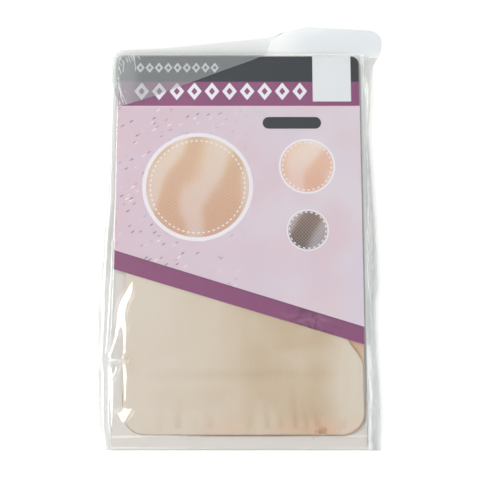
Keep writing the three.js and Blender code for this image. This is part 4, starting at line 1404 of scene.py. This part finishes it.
def front_film(material):
    """The bag's front film: it lies over the card and the cap, falls to its sides and is creased."""
    lines, left, right, x, y, level = film_places()
    edge_fade = np.clip(np.minimum(x - left, right - x) / SIDE_FADE, 0, 1)
    soft = np.array([waves(a, b, FILM_WAVES) for a, b in zip(x.flat, y.flat)]).reshape(x.shape)
    level = level + edge_fade * (ridge_relief(x, y) + soft)

    def place(i, j):
        if j < len(FOOT_FOLD):
            inward, height = FOOT_FOLD[j]
            return (x[0, i], FRONT_LOW.y + inward, min(height, level[0, i] - 0.05 * MM))
        row = j - len(FOOT_FOLD)
        return (x[row, i], y[row, i], level[row, i])

    piece = add_grid("front_film", x.shape[1], len(lines) + len(FOOT_FOLD), place)
    mark_creases(piece)
    mark_seals(piece, lines, left, right)
    apply_modifier(piece, "SOLIDIFY", thickness=FILM_WALL, offset=-1)
    dress(piece, material, smooth_angle=180)
    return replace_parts(piece, "bag_front")


def pinched_creases(material):
    """Fine raised creases where the flap is pinched at the pack's corner."""
    surface = node_surface("bag_back")
    steps = 4
    lines = []
    for points in PINCHES:
        line = []
        for (ax, ay), (bx, by) in zip(points, points[1:]):
            for k in range(steps + 1):
                x, y = lerp(ax, bx, k / steps) * MM, lerp(ay, by, k / steps) * MM
                line.append((x, y, height_on(surface, x, y) + PINCH_RISE))
        lines.append(line)
    return dress(thread("pinched_creases", lines, PINCH_RADIUS), material)


def flap_crumple(x, y, z):
    """How far the flap's fine crumples at the corner and its slack waves stand up there."""
    folded = ramp(z, *FOLDED_CRUMPLES)
    free = 0.7 * ramp(y, *FREE_CRUMPLES) * ramp(z, *LIFTED_CRUMPLES)
    corner = bell(x - CRUMPLE["middle"], CRUMPLE["width"])
    lines = 1 - 2.5 * abs(ripple(0.9 * x + 0.5 * y, 0.2 * (y - x), CRUMPLE["pitch"], 6.0))
    slack = abs(ripple(x + 0.4 * y, y, SLACK["pitch"], 2.0))
    return max(folded, free) * (CRUMPLE["rise"] * corner * max(0.0, lines) + SLACK["rise"] * slack)


def back_film(material):
    """The bag's back film and its flap, smoothed and lightly crumpled."""
    activate(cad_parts["bag_back"])
    bpy.ops.object.duplicate()
    piece = named_active("back_film")
    for key in list(piece.keys()):
        del piece[key]
    piece.parent = None
    piece.hide_render = False
    merge(piece)
    edit(piece, lambda: bpy.ops.mesh.tris_convert_to_quads())
    pick_faces(piece, lambda face: face.center.z > SUBDIVIDED_LEVEL or face.center.y > FRONT_HIGH.y)
    bpy.ops.mesh.subdivide(number_cuts=3)
    bpy.ops.object.mode_set(mode="OBJECT")
    apply_modifier(piece, "SUBSURF", levels=1, render_levels=1)
    for vertex in piece.data.vertices:
        vertex.co.z += flap_crumple(*vertex.co)
    turn_out(piece)
    dress(piece, material, smooth_angle=180)
    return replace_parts(piece, "bag_back")


# Surroundings


def studio_floor():
    """A plain white table."""
    bpy.ops.object.select_all(action="DESELECT")
    bpy.ops.mesh.primitive_plane_add(size=TABLE_SIZE, location=(0, 0, -TABLE_DROP))
    floor = named_active("studio_floor")
    material, n, surface = new_material("white_table")
    matte(n, surface, TABLE_TONE, 0.9)
    floor.data.materials.append(material)
    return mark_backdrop(floor)


def softbox(name, place, size, power, tone=(1.0, 1.0, 1.0)):
    """A soft lamp that looks at the pack."""
    lamp = bpy.data.lights.new(name, "AREA")
    lamp.shape = "RECTANGLE"
    lamp.size, lamp.size_y = size
    lamp.energy = power
    lamp.color = tone
    light = bpy.data.objects.new(name, lamp)
    light.location = place
    light.rotation_euler = (-place).to_track_quat("-Z", "Y").to_euler()
    bpy.context.scene.collection.objects.link(light)


def studio_light():
    """Even white surroundings, brighter low down and at the left, and the lamps."""
    world = bpy.data.worlds.new("studio")
    world.use_nodes = True
    n = Nodes(world.node_tree)
    background = world.node_tree.nodes["Background"]
    side, _, height = n.split(n.add("ShaderNodeTexCoord").outputs["Generated"])
    low = n.rest(n.step(height, 0.35, 0.95))
    left = n.step(n.times(side, -1.0), -0.4, 0.7)
    strength = n.plus(0.36, n.times(low, n.plus(0.16, n.times(left, 0.2))))
    n.feed(background.inputs["Color"], SKY_TONE)
    n.feed(background.inputs["Strength"], strength)
    bpy.context.scene.world = world
    for name, lamp in LAMPS.items():
        softbox(name, **lamp)
    bpy.context.scene.view_settings.view_transform = "Standard"
    bpy.context.scene.view_settings.look = "None"


def photo_camera():
    """The camera of the photograph."""
    lens = bpy.data.cameras.new("photo_camera")
    lens.sensor_width = SENSOR
    lens.lens = SENSOR * FOCAL_PIXELS / PHOTO_SIZE
    camera = bpy.data.objects.new("photo_camera", lens)
    camera.location = CAMERA_PLACE
    camera.rotation_euler = (math.pi / 2 - CAMERA_ELEVATION, 0, 0)
    bpy.context.scene.collection.objects.link(camera)
    bpy.context.scene.camera = camera


def write_sizes():
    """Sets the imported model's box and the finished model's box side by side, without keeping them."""
    boxes = {"cad": CAD_BOUNDS, "visual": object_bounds()}
    {name: [list(corner) for corner in box] for name, box in boxes.items()}


photo_camera()
studio_light()
studio_floor()

sewing_thread = thread_material("sewing_thread", THREAD_DARK, THREAD_LIGHT, THREAD_PALE)
loose_thread = thread_material("loose_thread", LOOSE_DARK, LOOSE_LIGHT, LOOSE_LIGHT)
clear_film = film_material("clear_film", front_looks, crinkle=0.25, depth=0.05 * MM)
pinched_film = film_material("pinched_film", pinched_looks, crinkle=0.2, depth=0.03 * MM)
flap_film = film_material("flap_film", back_looks, crinkle=0.6, depth=0.09 * MM)

for node, material in (("back_card", back_card_material()), ("front_card", front_card_material())):
    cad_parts[node].data.materials.clear()
    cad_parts[node].data.materials.append(material)

crown = knit_crown(knit_material())
hem = hem_cuff(hem_material())
stitches = hem_stitches(sewing_thread)
seam = overlock_seam(sewing_thread)
tail = thread_tail(loose_thread)
front_film(clear_film)
back_film(flap_film)
pinched_creases(pinched_film)

write_sizes()
